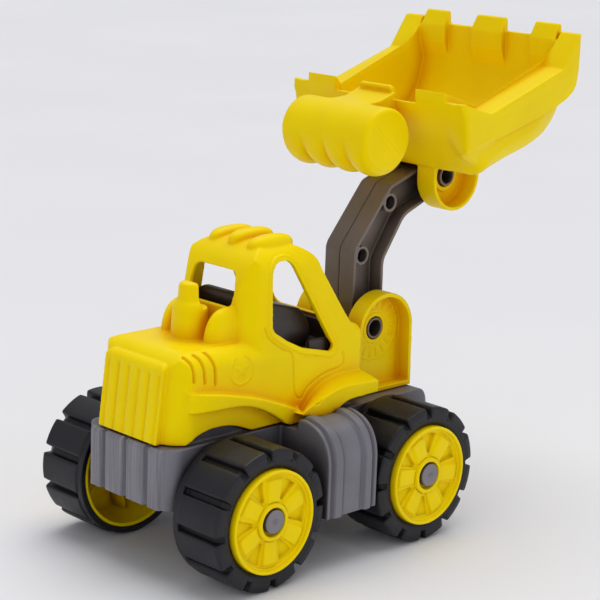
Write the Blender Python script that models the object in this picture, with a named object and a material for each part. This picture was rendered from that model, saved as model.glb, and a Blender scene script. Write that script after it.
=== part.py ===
"""Toy front loader: body on a chassis, four wheels on two steel axles, a lifting arm and a
tilting bucket.

Lengths are millimetres and angles degrees. X points forward (towards the bucket), Y to the left
and Z up; zero is on the ground below the rear axle, in the middle plane. finish() moves each piece
to the final frame (bottom centre of the whole toy) in metres.
"""

import math

import bmesh
import bpy
from mathutils import Vector

# ---------------------------------------------------------------- driving dimensions
WHEEL_RADIUS = 35.0
WHEELBASE = 107.5
AXLE_X = {"rear": 0.0, "front": WHEELBASE}
AXLE_Z = WHEEL_RADIUS
AXLE_RADIUS = 2.0
DECK_TOP = 66.9
BODY_BASE = 67.3  # underside of the upper body and of the arm bracket
ARM_X, ARM_Z = 117.3, 99.4  # pivot of the arm in its bracket
BUCKET_X, BUCKET_Z = 167.5, 174.0  # pivot of the bucket on the arm
PIVOT_HOLE_RADIUS = 6.1
BRACKET_IN = 13.4  # inner face of the bracket cheeks
EAR_IN = 11.0  # inner face of the bucket ears
CHEEK_OUT = 23.5  # outer face of the bracket cheeks and the bucket ears
ORIGIN_X = 91.15  # middle of the toy's length, becomes x = 0
MM = 0.001

BODY_SCREWS = [(-14.0, 17.0), (-14.0, -17.0), (58.0, 19.0), (58.0, -19.0)]  # x, y
BRACKET_SCREWS = [(104.0, 17.2), (104.0, -17.2)]  # x, y
DECK_SCREWS = BODY_SCREWS + BRACKET_SCREWS
ARM_SCREWS = [(112.2, 137.2), (131.6, 162.6)]  # x, z

SIDES = (1.0, -1.0)  # left, right


# ---------------------------------------------------------------- outlines
def arc(x, z, radius, start, end, steps):
    points = []
    for i in range(steps + 1):
        angle = math.radians(start + (end - start) * i / steps)
        points.append((x + radius * math.cos(angle), z + radius * math.sin(angle)))
    return points


def circle(u, v, radius, segments):
    turns = [2 * math.pi * i / segments for i in range(segments)]
    return [(u + radius * math.cos(turn), v + radius * math.sin(turn)) for turn in turns]


def inset(outline, distance):
    """Moves every side of a closed anticlockwise outline inwards."""
    moved = []
    for i in range(len(outline)):
        before, point = Vector(outline[i - 1]), Vector(outline[i])
        after = Vector(outline[(i + 1) % len(outline)])
        arriving, leaving = (point - before).normalized(), (after - point).normalized()
        normal_1 = Vector((-arriving.y, arriving.x))
        normal_2 = Vector((-leaving.y, leaving.x))
        reach = distance / max(0.25, 1.0 + normal_1.dot(normal_2))
        moved.append(tuple(point + (normal_1 + normal_2) * reach))
    return moved


def rounded(corners, steps=4):
    """Closed outline from (u, v, corner radius) entries."""
    outline = []
    for i, (u, v, radius) in enumerate(corners):
        if radius <= 0:
            outline.append((u, v))
            continue
        corner = Vector((u, v))
        back = (Vector(corners[i - 1][:2]) - corner).normalized()
        ahead = (Vector(corners[(i + 1) % len(corners)][:2]) - corner).normalized()
        half = back.angle(ahead) / 2.0
        tangent = radius / math.tan(half)
        centre = corner + (back + ahead).normalized() * (radius / math.sin(half))
        start = corner + back * tangent - centre
        end = corner + ahead * tangent - centre
        turn = math.atan2(start.x * end.y - start.y * end.x, start.dot(end))
        for k in range(steps + 1):
            c, s = math.cos(turn * k / steps), math.sin(turn * k / steps)
            outline.append((centre.x + start.x * c - start.y * s,
                            centre.y + start.x * s + start.y * c))
    return outline


# ---------------------------------------------------------------- solids
def solid(verts, faces, drop_degenerate=False):
    mesh = bpy.data.meshes.new("solid")
    mesh.from_pydata(verts, [], faces)
    bm = bmesh.new()
    bm.from_mesh(mesh)
    bmesh.ops.remove_doubles(bm, verts=bm.verts, dist=1e-4)
    if drop_degenerate:
        bmesh.ops.dissolve_degenerate(bm, edges=bm.edges, dist=1e-4)
    bmesh.ops.recalc_face_normals(bm, faces=bm.faces)
    bm.to_mesh(mesh)
    bm.free()
    ob = bpy.data.objects.new("solid", mesh)
    bpy.context.scene.collection.objects.link(ob)
    return ob


def prism(outline, lo, hi, axis="y"):
    """Extrudes an outline along an axis; its points are (x, z), (x, y) or (y, z)."""
    place = {
        "x": lambda u, v, w: (w, u, v),
        "y": lambda u, v, w: (u, w, v),
        "z": lambda u, v, w: (u, v, w),
    }[axis]
    n = len(outline)
    verts = [place(u, v, w) for w in (lo, hi) for u, v in outline]
    faces = [tuple(range(n)), tuple(range(2 * n - 1, n - 1, -1))]
    faces += [(i, (i + 1) % n, (i + 1) % n + n, i + n) for i in range(n)]
    return solid(verts, faces)


def span(side, inner, outer):
    """The Y range between two distances from the middle plane, on one side."""
    return sorted((side * inner, side * outer))


def pair(outline, inner, outer):
    """The same Y prism on the left and on the right."""
    return [prism(outline, *span(side, inner, outer)) for side in SIDES]


def side_prism(outline, x0, x1, side):
    """Extrudes along X a (distance from the middle plane, z) outline on one side."""
    return prism([(side * y, z) for y, z in outline], x0, x1, "x")


def box(x0, x1, y0, y1, z0, z1):
    return prism([(x0, z0), (x1, z0), (x1, z1), (x0, z1)], y0, y1)


def rod_y(x, z, radius, y0, y1, segments):
    return prism(circle(x, z, radius, segments), y0, y1)


def rod_z(x, y, radius, z0, z1, segments):
    return prism(circle(x, y, radius, segments), z0, z1, "z")


def radial_bar(x, z, angle, stations, y0, y1):
    """A Y prism whose (radius, sideways offset) points are turned by angle about (x, z)."""
    c, s = math.cos(math.radians(angle)), math.sin(math.radians(angle))
    outline = [(x + r * c - offset * s, z + r * s + offset * c) for r, offset in stations]
    return prism(outline, y0, y1)


def lathe(profile, x, z, segments, side=1.0, phase=0.0):
    """Revolves a closed (distance along Y, radius) profile about the Y axis through (x, z)."""
    n = len(profile)
    verts, faces = [], []
    for k in range(segments):
        angle = math.radians(phase) + 2 * math.pi * k / segments
        for y, radius in profile:
            verts.append((x + radius * math.cos(angle), side * y, z + radius * math.sin(angle)))
    for k in range(segments):
        j = (k + 1) % segments
        for i in range(n):
            m = (i + 1) % n
            if profile[i][1] < 1e-6 and profile[m][1] < 1e-6:
                continue  # a step along the axis sweeps no face
            faces.append((k * n + i, k * n + m, j * n + m, j * n + i))
    return solid(verts, faces, drop_degenerate=True)


def loft(rings):
    """Joins rings with the same number of points by quads and closes both ends."""
    n, last = len(rings[0]), len(rings) - 1
    faces = []
    for j in range(last):
        for i in range(n):
            m = (i + 1) % n
            faces.append((j * n + i, j * n + m, (j + 1) * n + m, (j + 1) * n + i))
    faces.append(tuple(range(n)))
    faces.append(tuple(reversed(range(last * n, (last + 1) * n))))
    return solid([point for ring in rings for point in ring], faces)


def boolean(target, tool, operation):
    mod = target.modifiers.new("cut", "BOOLEAN")
    mod.operation = operation
    mod.solver = "EXACT"
    mod.object = tool
    bpy.context.view_layer.update()
    depsgraph = bpy.context.evaluated_depsgraph_get()
    mesh = bpy.data.meshes.new_from_object(target.evaluated_get(depsgraph))
    target.modifiers.clear()
    target.data = mesh
    bpy.data.objects.remove(tool, do_unlink=True)


def union(target, *tools):
    for tool in tools:
        boolean(target, tool, "UNION")


def cut(target, *tools):
    for tool in tools:
        boolean(target, tool, "DIFFERENCE")


def common(target, *tools):
    for tool in tools:
        boolean(target, tool, "INTERSECT")


def bevel(ob, pick, width, segments):
    """Rounds the edges for which pick(middle point, direction) is true."""
    bm = bmesh.new()
    bm.from_mesh(ob.data)
    edges = []
    for edge in bm.edges:
        p, q = edge.verts[0].co, edge.verts[1].co
        along = q - p
        if along.length > 1e-9 and pick((p + q) / 2, along.normalized()):
            edges.append(edge)
    bmesh.ops.bevel(bm, geom=edges, offset=width, segments=segments, profile=0.5,
                    affect="EDGES", clamp_overlap=True)
    bmesh.ops.recalc_face_normals(bm, faces=bm.faces)
    bm.to_mesh(ob.data)
    bm.free()


def finish(ob, name, mat, pivot=(ORIGIN_X, 0.0, 0.0)):
    """Cleans and names a piece, sets its material, and puts its origin on the pivot."""
    bm = bmesh.new()
    bm.from_mesh(ob.data)
    bmesh.ops.remove_doubles(bm, verts=bm.verts, dist=2e-3)
    bmesh.ops.dissolve_degenerate(bm, edges=bm.edges, dist=2e-3)
    bmesh.ops.triangulate(bm, faces=[f for f in bm.faces if len(f.verts) > 4])
    bmesh.ops.recalc_face_normals(bm, faces=bm.faces)
    for v in bm.verts:
        v.co = Vector([(v.co[i] - pivot[i]) * MM for i in range(3)])
    bm.to_mesh(ob.data)
    bm.free()
    ob.data.materials.clear()
    ob.data.materials.append(mat)
    ob.location = ((pivot[0] - ORIGIN_X) * MM, pivot[1] * MM, pivot[2] * MM)
    ob.name = name
    ob.data.name = name


# ---------------------------------------------------------------- materials
def material(name, rgb, roughness, metallic=0.0):
    mat = bpy.data.materials.new(name)
    mat.use_nodes = True
    shader = mat.node_tree.nodes["Principled BSDF"]
    shader.inputs["Base Color"].default_value = (*rgb, 1.0)
    shader.inputs["Roughness"].default_value = roughness
    shader.inputs["Metallic"].default_value = metallic
    mat.diffuse_color = (*rgb, 1.0)
    return mat


YELLOW = material("yellow_plastic", rgb=(0.84, 0.60, 0.005), roughness=0.42)
GREY = material("grey_plastic", rgb=(0.16, 0.15, 0.165), roughness=0.5)
ARM_GREY = material("arm_plastic", rgb=(0.15, 0.12, 0.105), roughness=0.5)
RUBBER = material("black_tyre", rgb=(0.03, 0.03, 0.035), roughness=0.7)
SEAT = material("seat_plastic", rgb=(0.05, 0.035, 0.03), roughness=0.55)
CAP_GREY = material("cap_plastic", rgb=(0.17, 0.16, 0.18), roughness=0.5)
STEEL = material("steel", rgb=(0.6, 0.6, 0.6), roughness=0.3, metallic=1.0)

# ---------------------------------------------------------------- wheels
TYRE_IN, TYRE_OUT = 34.2, 65.6  # distance of the tyre faces from the middle plane
TYRE_SEGMENTS = 36
LUGS = 12
LUG_PITCH = 360.0 / LUGS
GROOVE_HALF = 1.5
RIM_FACE = 67.8
RIM_RADIUS = 25.4
CAP_RADIUS = 5.84
SPOKES = 6
SPOKE_PITCH = 360.0 / SPOKES

WHEELS = [  # end, hand, side, angle of the first tyre groove, angle of the first spoke
    ("rear", "right", -1.0, -85.7, 88.0),
    ("rear", "left", 1.0, -75.0, 75.0),
    ("front", "right", -1.0, -90.2, 55.0),
    ("front", "left", 1.0, -75.0, 40.0),
]

# profiles: distance from the middle plane, radius
TYRE_PROFILE = [
    (TYRE_IN, 31.4), (TYRE_IN, 34.0), (TYRE_IN + 0.5, 34.4), (TYRE_IN + 3.2, 34.4),
    (TYRE_IN + 3.8, WHEEL_RADIUS), (TYRE_OUT - 2.6, WHEEL_RADIUS), (TYRE_OUT, 33.2),
    (TYRE_OUT, 25.8), (63.0, 25.8), (63.0, 31.4),
]
RIM_PROFILE = [
    (37.0, 2.4), (37.0, 5.2), (60.4, 5.2), (60.4, 29.0), (34.6, 29.4), (34.6, 31.1),
    (62.7, 31.1), (62.7, RIM_RADIUS), (RIM_FACE, RIM_RADIUS - 0.2), (RIM_FACE, 24.0),
    (64.8, 23.2), (64.8, 9.2), (67.2, 9.0), (67.2, 7.0), (64.2, 7.0), (64.2, 2.4),
]
CAP_PROFILE = [
    (64.5, 2.25), (64.5, CAP_RADIUS), (RIM_FACE, CAP_RADIUS), (RIM_FACE, 0.0), (66.3, 0.0),
    (66.3, 2.25),
]
AXLE_PROFILE = [
    (-66.0, 0.0), (-66.0, 1.6), (-65.6, AXLE_RADIUS), (65.6, AXLE_RADIUS), (66.0, 1.6),
    (66.0, 0.0),
]
# bars seen from the side: radius, sideways offset
GROOVE = [
    (32.0, -GROOVE_HALF), (38.0, -GROOVE_HALF - 0.3), (38.0, GROOVE_HALF + 0.3),
    (32.0, GROOVE_HALF),
]
SPOKE = [(8.6, -3.9), (23.6, -5.0), (24.0, 0.0), (23.6, 5.0), (8.6, 3.9)]
RIM_RIB = [(4.6, -0.8), (29.9, -0.8), (29.9, 0.8), (4.6, 0.8)]


def build_tyre(name, x, side, phase):
    first = phase + 15.0 + 360.0 / TYRE_SEGMENTS / 2
    tyre = lathe(TYRE_PROFILE, x, AXLE_Z, TYRE_SEGMENTS, side, first)
    groove_span = span(side, TYRE_IN + 3.5, TYRE_OUT + 2.0)
    for k in range(LUGS):
        cut(tyre, radial_bar(x, AXLE_Z, phase + LUG_PITCH * k, GROOVE, *groove_span))
    finish(tyre, name, RUBBER, (x, 0.0, AXLE_Z))


def build_rim(name, x, side, spoke_angle):
    """Rim with raised spokes outside and thin ribs halfway between them inside."""
    rim = lathe(RIM_PROFILE, x, AXLE_Z, 30, side, 5.0)
    for k in range(SPOKES):
        angle = spoke_angle + SPOKE_PITCH * k
        union(rim, radial_bar(x, AXLE_Z, angle, SPOKE, *span(side, 63.6, 66.4)))
        angle += SPOKE_PITCH / 2
        union(rim, radial_bar(x, AXLE_Z, angle, RIM_RIB, *span(side, 50.0, 61.5)))
    finish(rim, name, YELLOW, (x, 0.0, AXLE_Z))


def build_wheels():
    for end, hand, side, phase, spoke_angle in WHEELS:
        x = AXLE_X[end]
        build_tyre(f"tyre_{end}_{hand}", x, side, phase)
        build_rim(f"rim_{end}_{hand}", x, side, spoke_angle)
        cap = lathe(CAP_PROFILE, x, AXLE_Z, 20, side)
        finish(cap, f"hub_cap_{end}_{hand}", CAP_GREY, (x, 0.0, AXLE_Z))
    for end, x in AXLE_X.items():
        finish(lathe(AXLE_PROFILE, x, AXLE_Z, 16), f"axle_{end}", STEEL, (x, 0.0, AXLE_Z))


# ---------------------------------------------------------------- chassis
FRAME_HALF = 32.0
FRAME = [  # x, z; rear bumper first
    (-34.3, 36.5), (-34.3, 66.0), (-30.0, DECK_TOP), (133.0, DECK_TOP), (139.0, 65.0),
    (145.0, 57.0), (145.0, 44.0), (138.0, 29.0), (-16.0, 29.0), (-22.0, 36.5),
]
FRAME_POCKET = [  # x, z
    (-31.0, 20.0), (-31.0, 64.3), (131.5, 64.3), (137.2, 63.0), (142.4, 56.4), (142.4, 45.0),
    (137.0, 31.4), (137.0, 20.0),
]
BUMPER_BAND = [(-36.0, 36.5), (-36.0, 65.2), (-33.0, 65.9), (-33.0, 36.5)]  # x, z
BUMPER_BAND_SPANS = [(-23.5, -17.2), (-14.2, -1.4), (1.4, 14.2), (17.2, 23.5)]  # y range
TANK = [  # distance from the middle plane, z
    (30.5, 66.8), (43.6, 66.8), (43.9, 71.4), (46.0, 71.8), (51.0, 71.4), (56.0, 69.6),
    (60.5, 66.0), (63.4, 61.0), (64.8, 55.0), (65.0, 48.0), (65.0, 27.0), (30.5, 27.0),
]
TANK_POCKET = [  # distance from the middle plane, z
    (32.0, 20.0), (32.0, 64.3), (45.6, 64.3), (46.3, 69.2), (50.5, 69.0), (54.8, 67.5),
    (58.8, 64.2), (61.3, 60.0), (62.5, 54.6), (62.6, 47.0), (62.6, 20.0),
]
TANK_BANDS = [(1.3, 41.0, 47.2), (1.3, 61.4, 68.8), (0.7, 36.8, 38.4)]  # growth, x range
REAR_HUMP = [  # x, z
    (-22.0, 65.0), (-21.4, 67.6), (-17.6, 70.0), (-10.0, 72.3), (4.0, 72.0), (15.0, 68.4),
    (17.6, 65.0),
]
FRONT_HUMP = [(62.4, 65.0), (62.4, 73.4), (64.4, 74.8), (88.4, 74.8), (88.4, 65.0)]  # x, z


def swollen_tank(growth):
    """The tank outline grown outwards, its curved part away from (45, 48)."""
    outline = []
    for y, z in TANK:
        if y > 43.7:  # the points nearer the frame stay
            angle = math.atan2(max(0.0, z - 48.0), y - 45.0)
            y, z = y + growth * math.cos(angle), z + growth * math.sin(angle)
        outline.append((y, z))
    return outline


def build_chassis():
    chassis = prism(FRAME, -FRAME_HALF, FRAME_HALF)
    bevel(chassis, lambda mid, along: mid.x < -33 and abs(along.z) > 0.9, 9.0, 3)
    bevel(chassis, lambda mid, along: mid.x > 138 and abs(mid.y) > 31 and mid.z > 30, 4.0, 1)
    pocket = prism(FRAME_POCKET, -29.6, 29.6)
    bevel(pocket, lambda mid, along: mid.x < -30 and abs(along.z) > 0.9, 7.0, 2)
    cut(chassis, pocket)
    # broad upright bands on the bumper, with grooves between them
    for y0, y1 in BUMPER_BAND_SPANS:
        band = prism(BUMPER_BAND, y0, y1)
        bevel(band, lambda mid, along: mid.x < -35.5 and abs(along.z) > 0.9, 1.0, 1)
        union(chassis, band)
    # side tanks between the wheels
    for side in SIDES:
        tank = side_prism(TANK, 37.2, 70.4, side)
        for growth, x0, x1 in TANK_BANDS:
            union(tank, side_prism(swollen_tank(growth), x0, x1, side))
        union(chassis, tank)
    for side in SIDES:
        cut(chassis, side_prism(TANK_POCKET, 39.2, 68.4, side))
    # axle guides: thick pads around the holes, on both side walls
    for x in AXLE_X.values():
        pad = [(x - 6.0, 29.0), (x + 6.0, 29.0), (x + 6.0, 42.0), (x - 6.0, 42.0)]
        union(chassis, *pair(pad, 24.5, 30.5))
        cut(chassis, rod_y(x, AXLE_Z, 2.35, -40.0, 40.0, 20))
    # low walls close the gap between the deck and the arches of the body
    for side in SIDES:
        for hump in (REAR_HUMP, FRONT_HUMP):
            union(chassis, prism(hump, *span(side, 26.2, 28.1)))
    # two cross walls
    for x in (34.0, 82.0):
        union(chassis, box(x - 1.1, x + 1.1, -30.4, 30.4, 40.0, 65.0))
    # screw seats under the deck
    for x, y in DECK_SCREWS:
        union(chassis, rod_z(x, y, 5.4, 56.0, 65.6, 16))
    for x, y in DECK_SCREWS:
        cut(chassis, rod_z(x, y, 3.6, 50.0, 60.2, 16))
        cut(chassis, rod_z(x, y, 1.7, 55.0, 70.0, 12))
    finish(chassis, "chassis", GREY)


# ---------------------------------------------------------------- upper body
HOOD_HALF = 31.0
HOOD_TOP = 110.0
CAB_HALF = 29.5
ROOF_TOP = 154.0
BODY_WALL = 2.3

GRILLE_HALF = 21.0
GRILLE = [  # x, z
    (-34.2, BODY_BASE), (-30.4, 104.2), (-29.2, 105.8), (-26.5, 106.4), (-20.0, 106.4),
    (-20.0, BODY_BASE),
]
INTAKE_HUMP = [  # x, z
    (0.6, 104.0), (1.0, 114.6), (3.0, 120.2), (7.0, 123.9), (12.6, 125.4), (20.0, 125.6),
    (20.0, 104.0),
]
ROOF_RIB_HALF = 4.6
ROOF_RIBS = [(0.0, 158.6), (14.0, 156.9), (-14.0, 156.9)]  # y, top
SIDE_WINDOW = [  # x, z
    (32.9, 125.6), (34.8, 140.6), (36.2, 143.6), (39.2, 145.4), (43.0, 145.6), (46.4, 144.2),
    (49.8, 140.6), (72.0, 102.2), (72.4, 100.0), (70.6, 98.2), (66.0, 98.4), (49.2, 104.0),
    (37.8, 110.0), (33.9, 114.8),
]
REAR_WINDOW = [  # y, z
    (-15.6, 128.6), (-14.4, 139.0), (-11.6, 142.0), (11.6, 142.0), (14.4, 139.0),
    (15.6, 128.6), (12.8, 124.8), (-12.8, 124.8),
]
FRONT_WINDOW = [  # y, z
    (-23.4, 112.4), (-19.4, 138.4), (-17.0, 140.4), (17.0, 140.4), (19.4, 138.4),
    (23.4, 112.4), (21.4, 110.4), (-21.4, 110.4),
]
GRILLE_GROOVE = [  # x, z
    (-36.0, 60.0), (-34.05, 60.0), (-29.75, 102.6), (-31.5, 104.0), (-36.0, 104.0),
]
SIDE_SLOT = [  # x from the slot's own place, z of the rearmost slot
    (0.9, 94.6), (0.9, 101.0), (-0.2, 106.4), (-1.6, 106.2), (-0.5, 101.0), (-0.5, 94.6),
]
REAR_ARCH = [  # x, z
    (-24.0, 60.0), (-21.8, 67.8), (-18.0, 70.2), (-14.0, 71.7), (-9.0, 72.7), (-3.9, 72.9),
    (4.3, 72.2), (10.6, 70.4), (15.0, 68.5), (19.0, 60.0),
]
REAR_GUARD = [  # x, z; the top from back to front, then the underside
    (-28.0, 93.6), (-19.0, 93.0), (-9.0, 91.8), (5.0, 89.2), (16.0, 86.2), (26.0, 82.8),
    (38.0, 77.4), (47.0, 72.6), (52.0, BODY_BASE), (37.0, BODY_BASE), (32.5, 71.2),
    (27.0, 75.0), (21.0, 78.4), (13.0, 81.4), (4.0, 83.2), (-6.0, 84.2), (-16.0, 84.0),
    (-28.0, 82.2),
]
REAR_GUARD_PLAN = [  # x, distance from the middle plane
    (-26.0, 28.0), (-24.4, 30.4), (-12.0, 36.2), (60.0, 36.3), (60.0, 28.0),
]
# front mudguard, back to front (x, z): top at the body, top at the outer edge, bottom edge
FRONT_GUARD_TOP_IN = [
    (50.0, 70.6), (53.0, 75.4), (58.0, 79.4), (64.0, 82.4), (72.0, 84.6), (81.0, 85.4),
    (93.4, 85.2),
]
FRONT_GUARD_TOP_OUT = [
    (41.0, 73.0), (45.1, 77.2), (51.9, 80.0), (58.7, 81.3), (65.6, 81.9), (81.0, 82.0),
    (93.4, 81.7),
]
FRONT_GUARD_LOW = [
    (41.5, 71.5), (50.0, 70.6), (59.4, 70.0), (64.2, 71.3), (69.7, 72.5), (81.7, 74.6),
    (93.4, 75.0),
]
FRONT_ARCH = [  # x, z
    (61.0, 60.0), (61.0, 69.0), (64.2, 71.2), (69.7, 74.0), (75.3, 75.3), (96.0, 75.6),
    (96.0, 60.0),
]


def hood_solid(shrink):
    """The engine hood and lower cab, shrunk on every side that shows."""
    half, top, back, front = HOOD_HALF - shrink, HOOD_TOP - shrink, -31.2 + shrink, 93.5 - shrink
    side_radius, plan_radius, end_radius = 7.5 - shrink, 11.0 - shrink, 8.5 - shrink
    side = rounded([(back, 60.0, 0), (-27.4 + shrink, top, side_radius),
                    (front, HOOD_TOP - 1.5 - shrink, 3.0), (front, 60.0, 0)])
    plan = rounded([(back, -half, plan_radius), (front, -half, 3.0), (front, half, 3.0),
                    (back, half, plan_radius)])
    end = rounded([(-half, 60.0, 0), (-half + 1.0, top, end_radius),
                   (half - 1.0, top, end_radius), (half, 60.0, 0)])
    hood = prism(side, -50.0, 50.0)
    upright = prism(plan, 60.0, 130.0, "z")
    for v in upright.data.vertices:
        if v.co.x < 0.0:  # the back leans forward as it rises
            v.co.x += 0.088 * (v.co.z - BODY_BASE)
    common(hood, upright, prism(end, -60.0, 120.0, "x"))
    return hood


def cab_solid(shrink, base):
    """The upper cab from the base height up, shrunk on every side that shows."""
    d = shrink
    side = [
        (13.6 + d, base), (15.4 + d, 112.0), (18.0 + d, 133.0), (19.7 + d, 144.0 - d * 0.3),
        (22.6 + d * 0.8, 149.4 - d * 0.7), (28.0 + d * 0.4, 152.9 - d), (36.0, ROOF_TOP - d),
        (48.0, 153.2 - d), (57.5 - d * 0.4, 150.4 - d), (64.5 - d * 0.7, 145.2 - d * 0.7),
        (68.8 - d, 137.4), (84.2 - d, 112.8), (89.0 - d, 108.6 - d * 0.5), (90.5 - d, base),
    ]
    half, top_half = CAB_HALF + 0.8 - d, CAB_HALF - 5.5 - d
    top = ROOF_TOP + 1.0 - d
    narrowing = (half - top_half) / (top - base)
    end = rounded([(-half, base - 1.0, 0), (-top_half, top, 11.0 - d),
                   (top_half, top, 11.0 - d), (half, base - 1.0, 0)], 5)
    plan = rounded([(13.4 + d, -half, 10.5 - d), (120.0, -half, 0), (120.0, half, 0),
                    (13.4 + d, half, 10.5 - d)])
    cab = prism(side, -50.0, 50.0)
    upright = prism(plan, base - 2.0, 170.0, "z")
    for v in upright.data.vertices:  # narrows and leans forward as it rises
        v.co.y *= 1.0 - narrowing * (v.co.z - base) / half
        v.co.x += 0.115 * (v.co.z - 104.0)
    common(cab, prism(end, 0.0, 120.0, "x"), upright)
    return cab


def roof_rib(y, top):
    rib = prism(
        [(28.0, 147.0), (29.6, top - 4.0), (33.5, top - 1.0), (41.0, top), (49.0, top - 0.6),
         (55.0, top - 2.8), (59.5, top - 7.6), (60.0, 146.0)],
        y - ROOF_RIB_HALF, y + ROOF_RIB_HALF,
    )
    bevel(rib, lambda mid, along: abs(along.y) < 0.3 and mid.z > 151.5, 2.4, 2)
    return rib


def add_hood_details(body):
    """Grille panel, exhaust stack, intake humps and roof ribs."""
    panel = prism(GRILLE, -GRILLE_HALF, GRILLE_HALF)
    bevel(panel, lambda mid, along: abs(mid.y) > GRILLE_HALF - 0.1 and mid.x < -26.6, 1.4, 1)
    union(body, panel)
    # exhaust stack in two steps, and the two intake humps beside it
    union(body, rod_z(4.2, 0.0, 8.9, 104.0, 127.8, 24))
    union(body, rod_z(4.2, 0.0, 5.8, 120.0, 137.2, 20))
    for hump in pair(INTAKE_HUMP, 11.2, 19.2):
        bevel(hump, lambda mid, along: abs(along.y) < 0.3 and mid.z > 108 and mid.x < 18.9,
              2.6, 2)
        union(body, hump)
    for y, top in ROOF_RIBS:
        union(body, roof_rib(y, top))


def cut_openings(body):
    """Windows, grille grooves, side slots and the low arches over the rear wheels."""
    cut(body, prism(SIDE_WINDOW, -40.0, 40.0))
    cut(body, prism(REAR_WINDOW, 5.0, 27.0, "x"))
    cut(body, prism(FRONT_WINDOW, 58.0, 100.0, "x"))
    for y in (-18.5, -11.1, -3.7, 3.7, 11.1, 18.5):
        cut(body, prism(GRILLE_GROOVE, y - 0.55, y + 0.55))
    for k in range(3):  # three slots, each further forward and a little lower
        slot_x = -19.6 + 7.3 * k
        slot = [(slot_x + x, z - 1.2 * k) for x, z in SIDE_SLOT]
        cut(body, *pair(slot, 29.9, 33.0))
    cut(body, *pair(REAR_ARCH, 27.0, 40.0))


def rear_guard(side):
    def outer_top_edge(mid, along):
        upper = mid.z > 88.2 - 0.42 * max(0.0, mid.x)
        return abs(mid.y) > 36 and abs(along.y) < 0.2 and (upper or mid.x < -27.9)

    guard = prism(REAR_GUARD, *span(side, 29.6, 36.2))
    bevel(guard, outer_top_edge, 1.8, 2)
    plan = [(x, side * y) for x, y in REAR_GUARD_PLAN]
    common(guard, prism(plan, 50.0, 110.0, "z"))
    return guard


def front_guard(side):
    """A sloping top and a skirt, reaching further out than the rear mudguard."""
    inner, outer = side * 30.0, side * 43.0
    rings = []
    stations = zip(FRONT_GUARD_TOP_IN, FRONT_GUARD_TOP_OUT, FRONT_GUARD_LOW)
    for i, (top_in, top_out, low) in enumerate(stations):
        low_in_x = low[0] + (9.0 if i == 0 else 0.0)
        rings.append([
            (low_in_x, inner, low[1] - 2.0), (top_in[0], inner, top_in[1]),
            (top_out[0], outer, top_out[1]), (low[0], outer, low[1]),
        ])
    guard = loft(rings)
    bevel(guard, lambda mid, along: abs(mid.y) > 42.9 and mid.z > 76.0 and abs(along.y) < 0.2,
          1.2, 1)
    return guard


def build_upper_body():
    """Hood, cab and mudguards in one moulding."""
    body = hood_solid(0.0)
    cut(body, box(-60.0, 120.0, -60.0, 60.0, 40.0, BODY_BASE))
    union(body, cab_solid(0.0, 100.0))
    add_hood_details(body)
    # hollow it out from below
    cut(body, hood_solid(BODY_WALL))
    cut(body, cab_solid(BODY_WALL, 90.0))
    cut_openings(body)
    for side in SIDES:
        union(body, rear_guard(side))
    for side in SIDES:
        union(body, front_guard(side))
    cut(body, *pair(FRONT_ARCH, 28.0, 45.0))
    # screw posts under the hood and the cab, with webs beside the front ones
    for x, y in BODY_SCREWS:
        union(body, rod_z(x, y, 4.2, BODY_BASE, 109.0 if x < 0 else 80.0, 14))
    for side in SIDES:
        union(body, box(56.6, 59.4, *span(side, 19.0, 30.0), 70.0, 80.0))
    for x, y in BODY_SCREWS:
        cut(body, rod_z(x, y, 1.6, 60.0, 77.0, 12))
    finish(body, "upper_body", YELLOW)


# ---------------------------------------------------------------- seat insert
SEAT_HALF = 17.7
SEAT_BLOCK = [  # x, z; highest at the back
    (24.0, 97.0), (24.0, 126.4), (25.2, 128.8), (27.6, 129.0), (43.0, 123.2), (54.0, 120.2),
    (61.5, 117.0), (67.0, 111.4), (69.0, 105.4), (66.0, 97.0),
]
SEAT_POCKET = [  # x, z
    (26.4, 90.0), (26.4, 123.6), (29.6, 124.8), (42.6, 119.8), (53.4, 116.8), (59.6, 114.0),
    (64.4, 109.6), (66.0, 105.4), (63.6, 90.0),
]
FRONT_BOARD = [(79.6, 97.0), (79.6, 106.4), (81.4, 109.4), (83.4, 108.6), (83.4, 97.0)]  # x, z


def build_seat():
    """Floor plate inside the cab with the seat block, and a tray with a front board."""
    seat = box(24.0, 83.4, -26.4, 26.4, 96.0, 98.2)
    block = prism(SEAT_BLOCK, -SEAT_HALF, SEAT_HALF)

    def side_edge(mid, along):
        return abs(abs(mid.y) - SEAT_HALF) < 0.1 and mid.z > 99.0 and mid.x > 24.1

    bevel(block, side_edge, 3.2, 2)
    union(seat, block)
    tray = box(60.0, 83.4, -26.0, 26.0, 97.0, 104.0)
    union(tray, prism(FRONT_BOARD, -24.0, 24.0))
    cut(tray, box(55.0, 81.4, -24.2, 24.2, 98.2, 120.0))
    union(seat, tray)
    # two walls from the floor plate down to the deck
    for side in SIDES:
        union(seat, box(30.0, 50.0, *span(side, 19.2, 21.6), DECK_TOP + 0.3, 97.0))
    cut(seat, prism(SEAT_POCKET, -15.2, 15.2))
    finish(seat, "cab_seat", SEAT)


# ---------------------------------------------------------------- arm bracket
CHEEK = (  # x, z
    [(98.4, BODY_BASE), (139.0, BODY_BASE), (138.4, 92.0), (138.3, 99.0)]
    + arc(118.4, 99.0, 19.9, 6.0, 174.0, 14)
    + [(98.5, 99.0), (98.4, 92.0)]
)
CHEEK_RIB = [(10.0, -0.45), (16.2, -0.75), (16.2, 0.75), (10.0, 0.45)]  # radius, offset


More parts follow.
